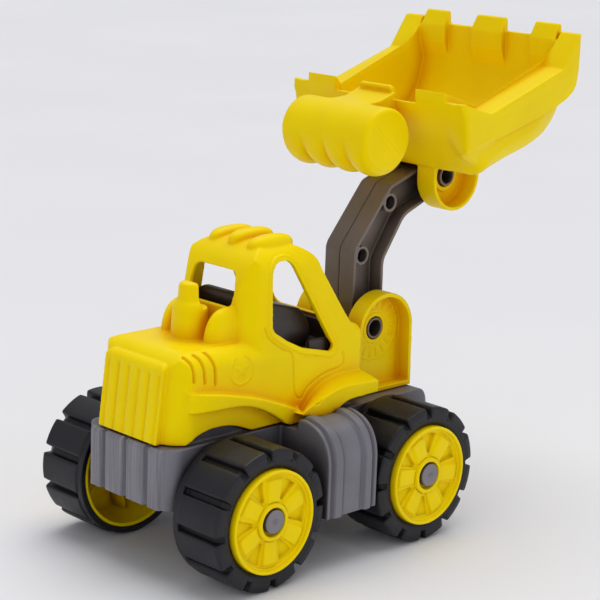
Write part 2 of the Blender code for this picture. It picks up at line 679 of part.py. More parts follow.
def bracket_cheek(side):
    """Cheek panned from outside, with a collar and thin ribs around the pivot hole."""
    cheek = prism(CHEEK, *span(side, BRACKET_IN, CHEEK_OUT))
    cut(cheek, prism(inset(CHEEK, 2.2), *span(side, BRACKET_IN + 2.6, CHEEK_OUT + 3.0)))
    collar_span = span(side, BRACKET_IN + 1.0, BRACKET_IN + 3.1)
    union(cheek, rod_y(ARM_X, ARM_Z, 8.0, *collar_span, 28))
    rib_span = span(side, BRACKET_IN + 1.5, BRACKET_IN + 3.0)
    for angle in range(10, 331, 40):
        if angle != 90:  # no rib straight up
            union(cheek, radial_bar(ARM_X, ARM_Z, angle, CHEEK_RIB, *rib_span))
    return cheek


def build_bracket():
    bracket = box(98.6, 138.9, -16.0, 16.0, BODY_BASE, BODY_BASE + 2.4)
    for side in SIDES:
        union(bracket, bracket_cheek(side))
    for x, y in BRACKET_SCREWS:
        union(bracket, rod_z(x, y, 3.6, BODY_BASE + 1.0, BODY_BASE + 10.5, 14))
    cut(bracket, rod_y(ARM_X, ARM_Z, PIVOT_HOLE_RADIUS, -30.0, 30.0, 28))
    for x, y in BRACKET_SCREWS:
        cut(bracket, rod_z(x, y, 1.6, 60.0, BODY_BASE + 9.0, 12))
    finish(bracket, "arm_bracket", YELLOW)


# ---------------------------------------------------------------- lifting arm
ARM_HALF = 10.4
TRUNNION_RADIUS = 5.6
TRUNNION_BORE = 4.3
TRUNNION_END = 16.7
ARM = (  # x, z
    arc(ARM_X, ARM_Z, 10.6, 200.0, 352.0, 10)
    + [(128.5, 104.0), (128.5, 132.7), (143.0, 154.0), (157.3, 159.8), (164.0, 164.4)]
    + arc(BUCKET_X, BUCKET_Z, 9.0, -78.0, 96.0, 10)
    + [(160.0, 181.5), (150.0, 178.2), (143.0, 175.4), (130.4, 171.3), (106.1, 140.9),
       (106.1, 113.0), (107.0, 101.0)]
)


def build_arm_half(name, side):
    """Half of the arm, panned from outside; the right half takes the screw heads."""
    takes_heads = side < 0
    half = prism(ARM, *span(side, 0.12, ARM_HALF))
    cut(half, prism(inset(ARM, 2.0), *span(side, 2.3, ARM_HALF + 3.0)))
    boss_radius, boss_end = (5.0, ARM_HALF - 0.1) if takes_heads else (3.6, 8.6)
    for x, z in ARM_SCREWS:
        union(half, rod_y(x, z, boss_radius, *span(side, 1.0, boss_end), 20))
    # hollow trunnions; the one in the bracket has a collar
    union(half, rod_y(ARM_X, ARM_Z, 8.6, *span(side, 1.0, BRACKET_IN - 0.3), 28))
    for x, z in ((ARM_X, ARM_Z), (BUCKET_X, BUCKET_Z)):
        union(half, rod_y(x, z, TRUNNION_RADIUS, *span(side, 1.0, TRUNNION_END), 28))
        cut(half, rod_y(x, z, TRUNNION_BORE, -30.0, 30.0, 24))
    for x, z in ARM_SCREWS:
        if takes_heads:
            cut(half, rod_y(x, z, 3.4, -12.0, -3.4, 20), rod_y(x, z, 1.5, -6.0, 3.0, 12))
        else:
            cut(half, rod_y(x, z, 1.45, -3.0, 7.6, 12))
    finish(half, name, ARM_GREY, (ARM_X, 0.0, ARM_Z))


# ---------------------------------------------------------------- bucket
BUCKET_HALF = 60.5
BOWL_HALF = 47.5
# the bowl opens upwards; its outlines (x, z) run from the front lip down to the floor's back end
BOWL_OUT = [
    (218.3, 246.3), (218.3, 228.0), (216.4, 217.0), (212.6, 207.8), (206.4, 200.0),
    (198.4, 195.0), (188.0, 191.6), (171.0, 187.0), (156.5, 182.4), (149.2, 180.3),
]
BOWL_IN = [
    (215.8, 246.3), (215.8, 228.4), (214.0, 217.8), (210.6, 209.3), (204.9, 202.2),
    (197.4, 197.3), (187.4, 194.0), (170.4, 189.4), (155.9, 184.8), (151.4, 183.8),
]
# the back plate carries on from there, upwards
BACK_OUT = [(144.6, 186.0), (139.6, 193.0), (134.4, 200.6), (130.0, 209.0), (126.4, 219.4)]
BACK_IN = [(146.8, 187.5), (141.9, 194.4), (136.8, 201.8), (132.5, 209.9), (129.0, 219.6)]
BOWL_SIDE = BOWL_OUT + BACK_OUT + [
    (128.5, 219.4), (148.0, 213.6), (202.4, 232.1), (217.0, 246.0),
]
THICK_WALL = [(218.3, 264.0)] + BOWL_OUT[1:] + BACK_OUT[1:4] + [(121.0, 236.0)]
THICK_WALL_STATIONS = [  # distance from the middle plane, how far the outline is drawn in
    (BOWL_HALF - 1.2, 0.0), (50.0, 0.9), (53.0, 2.5), (55.2, 5.0), (56.6, 8.2),
]
THICK_WALL_LIMIT = [  # x, z
    (230.0, 150.0), (230.0, 246.0), (217.0, 246.0), (202.4, 232.1), (148.0, 213.6),
    (128.5, 219.4), (110.0, 219.4), (110.0, 150.0),
]
RIM_BAND = [  # x, z
    (218.0, 249.6), (214.6, 249.2), (202.6, 232.1), (148.0, 213.6), (148.8, 211.2),
    (203.6, 229.6), (215.4, 243.0), (217.6, 243.4),
]
SKIRT = [  # x, z
    (218.2, 248.0), (217.0, 249.5), (214.6, 249.0), (202.6, 231.9), (148.0, 213.4),
    (128.6, 219.2), (127.0, 218.6), (129.3, 209.0), (132.8, 193.3), (138.4, 194.8),
    (165.9, 202.6), (181.7, 206.9), (195.1, 210.6), (203.0, 213.6), (211.0, 217.4),
    (215.6, 222.6), (218.2, 230.5),
]
LIP_WING = [  # x, z
    (218.3, 249.6), (218.3, 230.5), (215.6, 222.6), (211.0, 217.4), (203.0, 213.6),
    (202.4, 216.0), (209.6, 219.6), (213.6, 224.0), (215.8, 231.0), (215.8, 249.2),
]
BACK_WING = [  # x, z
    (126.4, 219.4), (129.3, 209.0), (132.8, 193.3), (135.6, 194.1), (131.8, 209.9),
    (129.0, 219.6),
]
BUCKET_SIDE_PARTS = [  # outline, inner and outer distance from the middle plane
    (RIM_BAND, BOWL_HALF - 1.4, BUCKET_HALF - 0.1),
    (SKIRT, BUCKET_HALF - 2.2, BUCKET_HALF),
    (LIP_WING, BOWL_HALF - 1.0, BUCKET_HALF - 0.6),
    (BACK_WING, BOWL_HALF - 1.0, BUCKET_HALF - 0.6),
]
TOOTH = [  # x, z
    (218.25, 236.0), (218.25, 252.4), (217.2, 253.4), (215.8, 253.4), (211.9, 245.6),
    (212.4, 236.5), (215.9, 227.5),
]
TEETH = [(0.0, 10.8), (37.3, 7.8), (-37.3, 7.8)]  # y, half width
TAB = [  # x, z
    (128.6, 210.0), (126.2, 219.0), (125.2, 222.4), (126.0, 223.4), (128.4, 223.2),
    (131.0, 221.4), (133.4, 217.2), (133.6, 212.6), (131.8, 208.5),
]
TABS = [(0.0, 11.0), (37.3, 8.6), (-37.3, 8.6)]  # y, half width
EAR = arc(BUCKET_X, BUCKET_Z, 17.6, 180.0, 360.0, 16) + [(185.1, 194.0), (149.9, 186.0)]
EAR_PAN = arc(BUCKET_X, BUCKET_Z, 15.6, 180.0, 360.0, 14) + [(183.1, 190.3), (151.9, 180.9)]
ABOVE_FLOOR = [  # x, z
    (120.0, 172.4), (150.0, 181.8), (156.2, 183.6), (170.7, 188.2), (187.7, 192.8),
    (230.0, 206.0), (230.0, 230.0), (120.0, 230.0),
]
NECK = [  # x, z
    (106.0, 206.0), (107.4, 215.9), (116.0, 216.2), (127.0, 219.0), (129.6, 212.0),
    (131.0, 206.0), (118.0, 202.0),
]
HANDLE_X, HANDLE_Z = 107.4, 199.4
HANDLE_RADIUS = 17.1
HANDLE_HALF = 29.8
HANDLE_SEGMENTS = 22
SWELLS = 4


def thick_wall(side):
    """A loft whose outline is drawn in further out, more at the front and back than below."""
    rings = []
    for y, draw_in in THICK_WALL_STATIONS:
        ring = []
        for i, point in enumerate(THICK_WALL):
            point = Vector(point)
            u = point - Vector(THICK_WALL[max(i - 1, 0)])
            v = Vector(THICK_WALL[min(i + 1, len(THICK_WALL) - 1)]) - point
            # an end point has one neighbour, whose direction serves for both
            u = u.normalized() if u.length > 1e-6 else v.normalized()
            v = v.normalized() if v.length > 1e-6 else u
            normals = Vector((u.y, -u.x)) + Vector((v.y, -v.x))
            front = min(1.0, max(0.0, (point.x - 190.0) / 18.0))
            back = min(1.0, max(0.0, (148.0 - point.x) / 8.0))
            gain = 1.0 + 0.9 * front + 0.5 * back
            reach = gain * draw_in / max(0.5, 1.0 + u.x * v.x + u.y * v.y)
            moved = point + normals * reach
            ring.append((moved.x, side * y, moved.y))
        rings.append(ring)
    wall = loft(rings)
    common(wall, prism(THICK_WALL_LIMIT, *span(side, 40.0, 70.0)))
    return wall


def bucket_tooth(y, half):
    def side_edge(mid, along):
        return mid.z > 247.0 and abs(along.y) < 0.3 and abs(abs(mid.y - y) - half) < 0.1

    tooth = prism(TOOTH, y - half, y + half)
    bevel(tooth, side_edge, 1.4, 1)
    return tooth


def bucket_ear(side):
    """A round pan beside the arm, kept below the inner face of the bowl floor."""
    ear = prism(EAR, *span(side, EAR_IN, CHEEK_OUT))
    cut(ear, prism(EAR_PAN, *span(side, EAR_IN + 2.6, CHEEK_OUT + 3.0)))
    union(ear, rod_y(BUCKET_X, BUCKET_Z, 8.6, *span(side, EAR_IN + 1.0, EAR_IN + 4.2), 28))
    cut(ear, rod_y(BUCKET_X, BUCKET_Z, PIVOT_HOLE_RADIUS, *span(side, 5.0, 30.0), 28))
    cut(ear, prism(ABOVE_FLOOR, *span(side, 5.0, 30.0)))
    return ear


def handle():
    """A barrel across the toy with four finger swells below."""
    pitch = 2 * HANDLE_HALF / SWELLS
    stations = [-HANDLE_HALF + pitch * (k + part)
                for k in range(SWELLS) for part in (0.0, 0.16, 0.5, 0.84)]
    stations.append(HANDLE_HALF)
    rings = []
    for y in stations:
        part = ((y + HANDLE_HALF) / pitch) % 1.0
        dip = 1.0 - math.sqrt(max(0.0, 1.0 - (2.0 * part - 1.0) ** 2))
        if abs(abs(y) - HANDLE_HALF) < 1e-6:
            dip = 0.25
        end = max(0.0, abs(y) - (HANDLE_HALF - 1.5)) / 1.5
        ring = []
        for i in range(HANDLE_SEGMENTS):
            angle = 2 * math.pi * i / HANDLE_SEGMENTS
            below = max(0.0, -math.sin(angle)) ** 1.2
            r = HANDLE_RADIUS + (1.5 - 3.2 * dip) * below - 1.0 * end
            ring.append((HANDLE_X + r * math.cos(angle), y, HANDLE_Z + r * math.sin(angle)))
        rings.append(ring)
    return loft(rings)


def build_bucket():
    plate = BOWL_OUT + BACK_OUT + list(reversed(BOWL_IN + BACK_IN))
    bucket = prism(plate, -BOWL_HALF, BOWL_HALF)
    union(bucket, *pair(BOWL_SIDE, BOWL_HALF - 2.3, BOWL_HALF))
    for side in SIDES:
        union(bucket, thick_wall(side))
    for side in SIDES:
        for outline, inner, outer in BUCKET_SIDE_PARTS:
            union(bucket, prism(outline, *span(side, inner, outer)))
    # rounded front corners between the lip and the skirts
    plan = rounded([(60.0, -BUCKET_HALF, 0), (218.3, -BUCKET_HALF, 3.8),
                    (218.3, BUCKET_HALF, 3.8), (60.0, BUCKET_HALF, 0)])
    common(bucket, prism(plan, 150.0, 280.0, "z"))
    for y, half in TEETH:
        union(bucket, bucket_tooth(y, half))
    # notch the back edge, then add the tabs
    cut(bucket, box(118.0, 134.0, -28.0, 28.0, 216.6, 230.0))
    for y, half in TABS:
        union(bucket, prism(TAB, y - half, y + half))
    for side in SIDES:
        union(bucket, bucket_ear(side))
    union(bucket, handle(), prism(NECK, -12.6, 12.6))
    finish(bucket, "bucket", YELLOW, (BUCKET_X, 0.0, BUCKET_Z))


# ---------------------------------------------------------------- screws
def build_upright_screws(prefix, places, tip):
    for i, (x, y) in enumerate(places, 1):
        screw = rod_z(x, y, 3.0, 57.8, 59.9, 16)
        union(screw, rod_z(x, y, 1.3, 58.5, tip, 12))
        finish(screw, f"{prefix}_{i}", STEEL, (x, y, 60.0))


def build_arm_screws():
    for i, (x, z) in enumerate(ARM_SCREWS, 1):
        screw = rod_y(x, z, 2.9, -5.6, -3.6, 16)
        union(screw, rod_y(x, z, 1.2, -4.5, 6.8, 12))
        finish(screw, f"arm_screw_{i}", STEEL, (x, 0.0, z))


for old in list(bpy.data.objects):
    bpy.data.objects.remove(old, do_unlink=True)

build_wheels()
build_chassis()
build_upper_body()
build_seat()
build_bracket()
build_arm_half("arm_half_right", -1.0)
build_arm_half("arm_half_left", 1.0)
build_bucket()
build_upright_screws("body_screw", BODY_SCREWS, tip=75.5)
build_upright_screws("bracket_screw", BRACKET_SCREWS, tip=75.0)
build_arm_screws()
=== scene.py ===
"""Looks of a toy front loader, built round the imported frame.

Shapes are worked out in millimetres: X forward, Y to the left, Z up, zero on the floor under the
rear axle. place() moves them to the frame's own origin and to metres.
"""

import math
from contextlib import contextmanager

import bmesh
import bpy
import numpy as np
from mathutils import Matrix, Vector


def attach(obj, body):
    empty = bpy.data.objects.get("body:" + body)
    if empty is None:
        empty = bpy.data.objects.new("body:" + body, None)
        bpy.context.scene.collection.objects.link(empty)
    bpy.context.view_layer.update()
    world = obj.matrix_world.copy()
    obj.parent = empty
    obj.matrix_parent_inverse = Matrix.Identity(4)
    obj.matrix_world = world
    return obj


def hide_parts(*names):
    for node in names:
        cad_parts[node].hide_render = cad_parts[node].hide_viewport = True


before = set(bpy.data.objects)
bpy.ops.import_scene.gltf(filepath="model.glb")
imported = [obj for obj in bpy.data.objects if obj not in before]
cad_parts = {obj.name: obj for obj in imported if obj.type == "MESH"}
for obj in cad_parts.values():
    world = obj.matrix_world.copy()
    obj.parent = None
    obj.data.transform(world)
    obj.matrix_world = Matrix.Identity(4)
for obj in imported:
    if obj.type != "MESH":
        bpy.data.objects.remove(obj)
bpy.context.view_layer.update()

# ---------------------------------------------------------------- driving dimensions (mm)
ORIGIN_X = 91.15  # the frame's origin, ahead of the rear axle
WHEEL_RADIUS = 35.0
WHEELBASE = 107.5
AXLE_X = {"rear": 0.0, "front": WHEELBASE}
AXLE_Z = WHEEL_RADIUS
TYRE_IN, TYRE_OUT = 34.2, 65.6
DECK_TOP = 66.9
BODY_BASE = 67.3
HOOD_HALF, HOOD_TOP = 31.0, 110.0
CAB_HALF, ROOF_TOP = 29.5, 154.0
ARM_HALF = 10.4
ARM_PIVOT = (117.3, 99.4)  # (x, z)
BUCKET_PIVOT = (167.5, 174.0)
PIVOT_HOLE = 6.1
TRUNNION_RADIUS, TRUNNION_BORE, TRUNNION_END = 5.6, 4.3, 16.7
CHEEK_IN, CHEEK_OUT = 11.0, 23.5
BRACKET_IN = 13.4
BUCKET_HALF, BOWL_HALF = 60.5, 47.5
BODY_SCREWS = [(-14.0, 17.0), (-14.0, -17.0), (58.0, 19.0), (58.0, -19.0)]  # (x, y)
BRACKET_SCREWS = [(104.0, 17.2), (104.0, -17.2)]
ARM_SCREWS = [(112.2, 137.2), (131.6, 162.6)]  # (x, z)
SIDES = (1.0, -1.0)  # left, right


# ---------------------------------------------------------------- meshes
def new_object(data, name="solid"):
    item = bpy.data.objects.new(name, data)
    bpy.context.scene.collection.objects.link(item)
    return item


@contextmanager
def editing(mesh):
    bm = bmesh.new()
    bm.from_mesh(mesh)
    yield bm
    bm.to_mesh(mesh)
    bm.free()


def solid(verts, faces):
    mesh = bpy.data.meshes.new("solid")
    mesh.from_pydata(verts, [], faces)
    with editing(mesh) as bm:
        bmesh.ops.remove_doubles(bm, verts=bm.verts, dist=1e-4)
        bmesh.ops.recalc_face_normals(bm, faces=bm.faces)
    return new_object(mesh)


def triangulated(part):
    with editing(part.data) as bm:
        bmesh.ops.triangulate(bm, faces=bm.faces)
    return part


def read_points(mesh, key="co"):
    values = np.empty(len(mesh.vertices) * 3, np.float32)
    mesh.vertices.foreach_get(key, values)
    return values.reshape(-1, 3)


def write_points(mesh, points):
    mesh.vertices.foreach_set("co", points.astype(np.float32).ravel())
    mesh.update()


def shade_smooth(mesh):
    mesh.polygons.foreach_set("use_smooth", np.ones(len(mesh.polygons), bool))


def baked(part):
    """The part's mesh with its modifiers applied; the modifiers are then removed."""
    bpy.context.view_layer.update()
    graph = bpy.context.evaluated_depsgraph_get()
    mesh = bpy.data.meshes.new_from_object(part.evaluated_get(graph))
    part.modifiers.clear()
    return mesh


# ---------------------------------------------------------------- outlines
def rect(x0, x1, z0, z1):
    return [(x0, z0), (x1, z0), (x1, z1), (x0, z1)]


def circle(u, v, radius, steps):
    angles = [2 * math.pi * i / steps for i in range(steps)]
    return [(u + radius * math.cos(a), v + radius * math.sin(a)) for a in angles]


def arc(u, v, radius, start, end, steps):
    """Open arc between two angles in degrees."""
    angles = [math.radians(start + (end - start) * i / steps) for i in range(steps + 1)]
    return [(u + radius * math.cos(a), v + radius * math.sin(a)) for a in angles]


def curve(points, steps=4):
    """A smooth open line through the points."""
    knots = [Vector(q) for q in points]
    knots = [2 * knots[0] - knots[1]] + knots + [2 * knots[-1] - knots[-2]]
    out = []
    for before, start, end, after in zip(knots, knots[1:], knots[2:], knots[3:]):
        for k in range(steps):
            t = k / steps
            square = (2 * before - 5 * start + 4 * end - after) * t * t
            cube = (3 * start - 3 * end + after - before) * t**3
            out.append(tuple(0.5 * ((2 * start) + (end - before) * t + square + cube)))
    return out + [tuple(knots[-2])]


def rounded(corners, steps=12):
    """Closed outline from (u, v, radius) corners."""
    out = []
    for i, (u, v, radius) in enumerate(corners):
        if radius <= 0:
            out.append((u, v))
            continue
        corner = Vector((u, v))
        back = (Vector(corners[i - 1][:2]) - corner).normalized()
        ahead = (Vector(corners[(i + 1) % len(corners)][:2]) - corner).normalized()
        half = back.angle(ahead) / 2.0
        reach = radius / math.tan(half)
        centre = corner + (back + ahead).normalized() * (radius / math.sin(half))
        start = corner + back * reach - centre
        end = corner + ahead * reach - centre
        turn = math.atan2(start.x * end.y - start.y * end.x, start.dot(end))
        for k in range(steps + 1):
            cos, sin = math.cos(turn * k / steps), math.sin(turn * k / steps)
            out.append(
                (centre.x + start.x * cos - start.y * sin, centre.y + start.x * sin + start.y * cos)
            )
    return out


def inset(outline, depth):
    """Moves every side of a closed outline inwards."""
    area = sum(p[0] * q[1] - q[0] * p[1] for p, q in zip(outline, outline[1:] + outline[:1]))
    sign = 1.0 if area > 0 else -1.0
    out = []
    for i in range(len(outline)):
        here = Vector(outline[i])
        into = (here - Vector(outline[i - 1])).normalized()
        away = (Vector(outline[(i + 1) % len(outline)]) - here).normalized()
        normal_in = Vector((-into.y, into.x)) * sign
        normal_out = Vector((-away.y, away.x)) * sign
        scale = depth / max(0.25, 1.0 + normal_in.dot(normal_out))
        out.append(tuple(here + (normal_in + normal_out) * scale))
    return out


def fine(profile, gap):
    """Adds points along a closed profile so that few are further apart than gap."""
    out = []
    for (a, b), (c, d) in zip(profile, profile[1:] + profile[:1]):
        k = max(1, int(math.hypot(c - a, d - b) / gap))
        out += [(a + (c - a) * i / k, b + (d - b) * i / k) for i in range(k)]
    return out


# ---------------------------------------------------------------- solids
def span(side, inner, outer):
    """Range of Y between two distances from the middle, on one side."""
    return sorted((side * inner, side * outer))


def prism(outline, low, high, axis="y"):
    """Outline is (x, z) along Y, (x, y) along Z or (y, z) along X."""
    n = len(outline)

    def at(u, v, w):
        return {"x": (w, u, v), "y": (u, w, v), "z": (u, v, w)}[axis]

    verts = [at(u, v, w) for w in (low, high) for u, v in outline]
    faces = [tuple(range(n)), tuple(range(2 * n - 1, n - 1, -1))]
    faces += [(i, (i + 1) % n, (i + 1) % n + n, i + n) for i in range(n)]
    return solid(verts, faces)


def box(x0, x1, y0, y1, z0, z1):
    return prism(rect(x0, x1, z0, z1), y0, y1)


def rod(x, z, radius, y0, y1, steps):
    return prism(circle(x, z, radius, steps), y0, y1)


def post(x, y, radius, z0, z1, steps):
    return prism(circle(x, y, radius, steps), z0, z1, "z")


def loft(rows, reverse_last=True):
    """Closed solid through rows of points, each row a closed loop."""
    n = len(rows[0])
    faces = []
    for j in range(0, (len(rows) - 1) * n, n):
        for i in range(n):
            m = (i + 1) % n
            faces.append((j + i, j + m, j + n + m, j + n + i))
    last = range((len(rows) - 1) * n, len(rows) * n)
    faces += [tuple(range(n)), tuple(reversed(last) if reverse_last else last)]
    return solid([q for row in rows for q in row], faces)


def turned(profile, x, y, steps=96):
    """Solid of revolution about an upright line; profile holds (z, radius)."""
    rows = [[(u, v, z) for u, v in circle(x, y, radius, steps)] for z, radius in profile]
    return triangulated(loft(rows, reverse_last=False))


def lump(x, y, z, size_x, size_y, size_z, squareness=2.5, steps=48):
    """A closed, rounded lump from its centre and half sizes."""

    def bulged(value):
        return math.copysign(abs(value) ** (2.0 / squareness), value)

    rows = []
    for j in range(1, steps // 2):
        a = math.pi * j / (steps // 2) - math.pi / 2
        ring, height = bulged(math.cos(a)), z + size_z * bulged(math.sin(a))
        row = []
        for i in range(steps):
            b = 2 * math.pi * i / steps
            u, v = bulged(math.cos(b)), bulged(math.sin(b))
            row.append((x + size_x * ring * u, y + size_y * ring * v, height))
        rows.append(row)
    return loft(rows)


def boolean(part, tools, operation):
    """Tries the fast solver, then the exact one if the result is empty or unchanged."""
    for tool in tools:
        before = len(part.data.polygons), len(part.data.vertices)
        for solver in ("MANIFOLD", "EXACT"):
            modifier = part.modifiers.new("cut", "BOOLEAN")
            modifier.operation = operation
            modifier.solver = solver
            modifier.object = tool
            mesh = baked(part)
            if len(mesh.polygons) > 0 and (len(mesh.polygons), len(mesh.vertices)) != before:
                break
        part.data = mesh
        bpy.data.objects.remove(tool, do_unlink=True)
    return part


def union(part, *tools):
    return boolean(part, tools, "UNION")


def cut(part, *tools):
    return boolean(part, tools, "DIFFERENCE")


def common(part, *tools):
    return boolean(part, tools, "INTERSECT")


def both_sides(operation, part, *shapes):
    """Applies (outline, inner, outer) prisms along Y on the left, then on the right."""
    for side in SIDES:
        for outline, inner, outer in shapes:
            operation(part, prism(outline, *span(side, inner, outer)))


def join(part, *rest):
    """Puts several closed solids in one mesh without fusing them."""
    with editing(part.data) as bm:
        for other in rest:
            bm.from_mesh(other.data)
            bpy.data.objects.remove(other, do_unlink=True)
    return part


# ---------------------------------------------------------------- surface work
def add_smoothing(part, passes):
    modifier = part.modifiers.new("soften", "SMOOTH")
    modifier.factor = 0.5
    modifier.iterations = max(1, int(passes / (1.0)))
    return modifier


def moulded(part, size, passes):
    """Rebuilds a solid as one even skin and softens its edges, as plastic leaves a mould."""
    modifier = part.modifiers.new("even", "REMESH")
    modifier.mode = "VOXEL"
    modifier.voxel_size = size * 1.0
    modifier.adaptivity = 0.0
    modifier.use_smooth_shade = True
    add_smoothing(part, passes)
    part.data = baked(part)
    return part


def soften(part, mask, passes):
    """Softens only the points where mask(x, y, z) is true; y is the distance from the middle."""
    x, y, z = read_points(part.data).T
    picked = np.nonzero(mask(x, np.abs(y), z))[0].tolist()
    group = part.vertex_groups.new(name="soft")
    group.add(picked, 1.0, "REPLACE")
    add_smoothing(part, passes).vertex_group = "soft"
    mesh = baked(part)
    part.vertex_groups.clear()
    part.data = mesh


def relief(part, height):
    """Moves every point along its normal by height(points, normals)."""
    points, normals = read_points(part.data), read_points(part.data, "normal")
    rise = height(points.astype(float), normals.astype(float))
    write_points(part.data, points + normals * rise[:, None])
    return part


def to_line(u, v, line, closed=False):
    """Distance from points (u, v) to a line of segments."""
    best = np.full(u.shape, 1e9)
    for (ax, ay), (bx, by) in zip(line, line[1:] + line[:1] if closed else line[1:]):
        dx, dy = bx - ax, by - ay
        square = dx * dx + dy * dy
        if square < 1e-12:
            continue
        t = np.clip(((u - ax) * dx + (v - ay) * dy) / square, 0, 1)
        best = np.minimum(best, np.hypot(u - ax - t * dx, v - ay - t * dy))
    return best


def inside(u, v, outline):
    """True where points (u, v) lie in a closed outline."""
    hit = np.zeros(u.shape, bool)
    for (ax, ay), (bx, by) in zip(outline, outline[1:] + outline[:1]):
        if ay != by:
            hit ^= ((ay > v) != (by > v)) & (u < (bx - ax) * (v - ay) / (by - ay) + ax)
    return hit


def ramp(value, start, end):
    """Smooth rise from 0 at start to 1 at end."""
    t = np.clip((value - start) / (end - start), 0, 1)
    return t * t * (3 - 2 * t)


def bell(distance, width):
    return np.exp(-((distance / width) ** 2))


# ---------------------------------------------------------------- wheels
WHEEL_STEPS = 720
LUGS = 12
GROOVE = 3.0
BLADES = 6
RIM_FACE = 67.8
CAP_RADIUS = 5.84
CAP_SHIFT = 0.35  # the hub caps sit forward of and above the axle by this much
TYRE_PROFILE = [  # (distance from the middle, radius, corner radius)
    (TYRE_IN, 31.4, 0.2), (TYRE_IN, 34.3, 0.7), (TYRE_IN + 3.3, 34.3, 0.3),
    (TYRE_IN + 3.9, WHEEL_RADIUS, 0.6), (TYRE_OUT - 0.6, WHEEL_RADIUS - 0.1, 1.5),
    (TYRE_OUT, 31.5, 1.0), (TYRE_OUT - 0.2, 27.6, 1.2), (TYRE_OUT - 1.0, 25.8, 0.3),
    (63.0, 25.8, 0.1), (63.0, 31.4, 0.2),
]
# (radius, distance from the middle)
RIM_HUB = [
    (2.4, 60.0), (2.4, 64.0), (2.6, 64.2), (6.8, 64.2), (6.9, 64.6), (7.0, 66.7), (7.25, 67.1),
    (7.7, 67.3), (8.5, 67.3), (8.95, 67.1), (9.15, 66.7), (9.3, 65.4), (9.6, 65.1),
]
RIM_FLAT = [(9.9 + (22.0 - 9.9) * i / 44, 64.9) for i in range(45)]
RIM_EDGE = [
    (22.3, 65.0), (22.5, 65.3), (22.6, 65.9), (22.8, 66.15), (23.5, 66.2), (23.65, 66.5),
    (23.75, 67.3), (23.95, 67.65), (24.3, RIM_FACE), (24.85, RIM_FACE), (25.15, 67.65),
    (25.3, 67.3), (25.35, 66.0), (25.35, 63.3), (25.5, 62.9), (26.0, 62.7), (31.0, 62.7),
    (31.1, 62.5), (31.1, 34.8), (30.9, 34.6), (29.5, 34.6), (29.3, 34.9), (29.0, 60.0),
    (28.6, 60.4), (5.6, 60.4), (5.2, 60.0), (5.2, 37.2), (5.0, 37.0), (2.6, 37.0), (2.4, 37.2),
]


def unbent(angles, out, radius):
    return out, radius


def spun(profile, centre_x, side, steps, bend=unbent):
    """Ring-shaped solid about Y from a closed (distance, radius) profile, bent by angle."""
    n = len(profile)
    angles = 2 * np.pi * np.arange(steps) / steps
    points = np.empty((n, steps, 3))
    for i, (out, radius) in enumerate(profile):
        out, radius = bend(angles, out, radius)
        points[i, :, 0] = centre_x + radius * np.cos(angles)
        points[i, :, 1] = side * out
        points[i, :, 2] = AXLE_Z + radius * np.sin(angles)
    faces = []
    for i in range(n):
        m = (i + 1) % n
        for k in range(steps):
            j = (k + 1) % steps
            faces.append((i * steps + k, m * steps + k, m * steps + j, i * steps + j))
    mesh = bpy.data.meshes.new("solid")
    mesh.from_pydata(points.reshape(-1, 3).tolist(), [], faces)
    with editing(mesh) as bm:
        bmesh.ops.recalc_face_normals(bm, faces=bm.faces)
    return new_object(mesh)


def make_tyre(centre_x, side, phase):
    pitch = 360.0 / LUGS

    def lugs(angles, out, radius):
        turn = (np.degrees(angles) - phase + pitch / 2) % pitch - pitch / 2
        # distance round the tread from the middle of the nearest groove
        along = np.abs(np.radians(turn)) * WHEEL_RADIUS
        half = GROOVE / 2 + 0.15 + 0.3 * ramp(out, 58.0, 65.0)
        groove = 1.0 - ramp(along, half - 0.35, half + 0.35)
        across = ramp(out, TYRE_IN + 3.3, TYRE_IN + 4.3)
        floor = 31.9 - 2.5 * ramp(out, 61.0, 65.6)
        bent = radius - groove * across * max(0.0, radius - floor)
        # the edges of every lug fall away softly, on the tread and on the outer face
        tread_fall = 0.55 * np.clip((3.6 - along) / 2.0, 0, 1) ** 2
        face_fall = 0.6 * np.clip((3.8 - along) / 2.2, 0, 1) ** 2
        bent = bent - (1 - groove) * across * (radius > 34.0) * tread_fall
        return out - (out > 64.8) * (radius > 29.0) * (1 - groove) * face_fall, bent

    return spun(fine(rounded(TYRE_PROFILE, 6), 0.5), centre_x, side, WHEEL_STEPS, lugs)


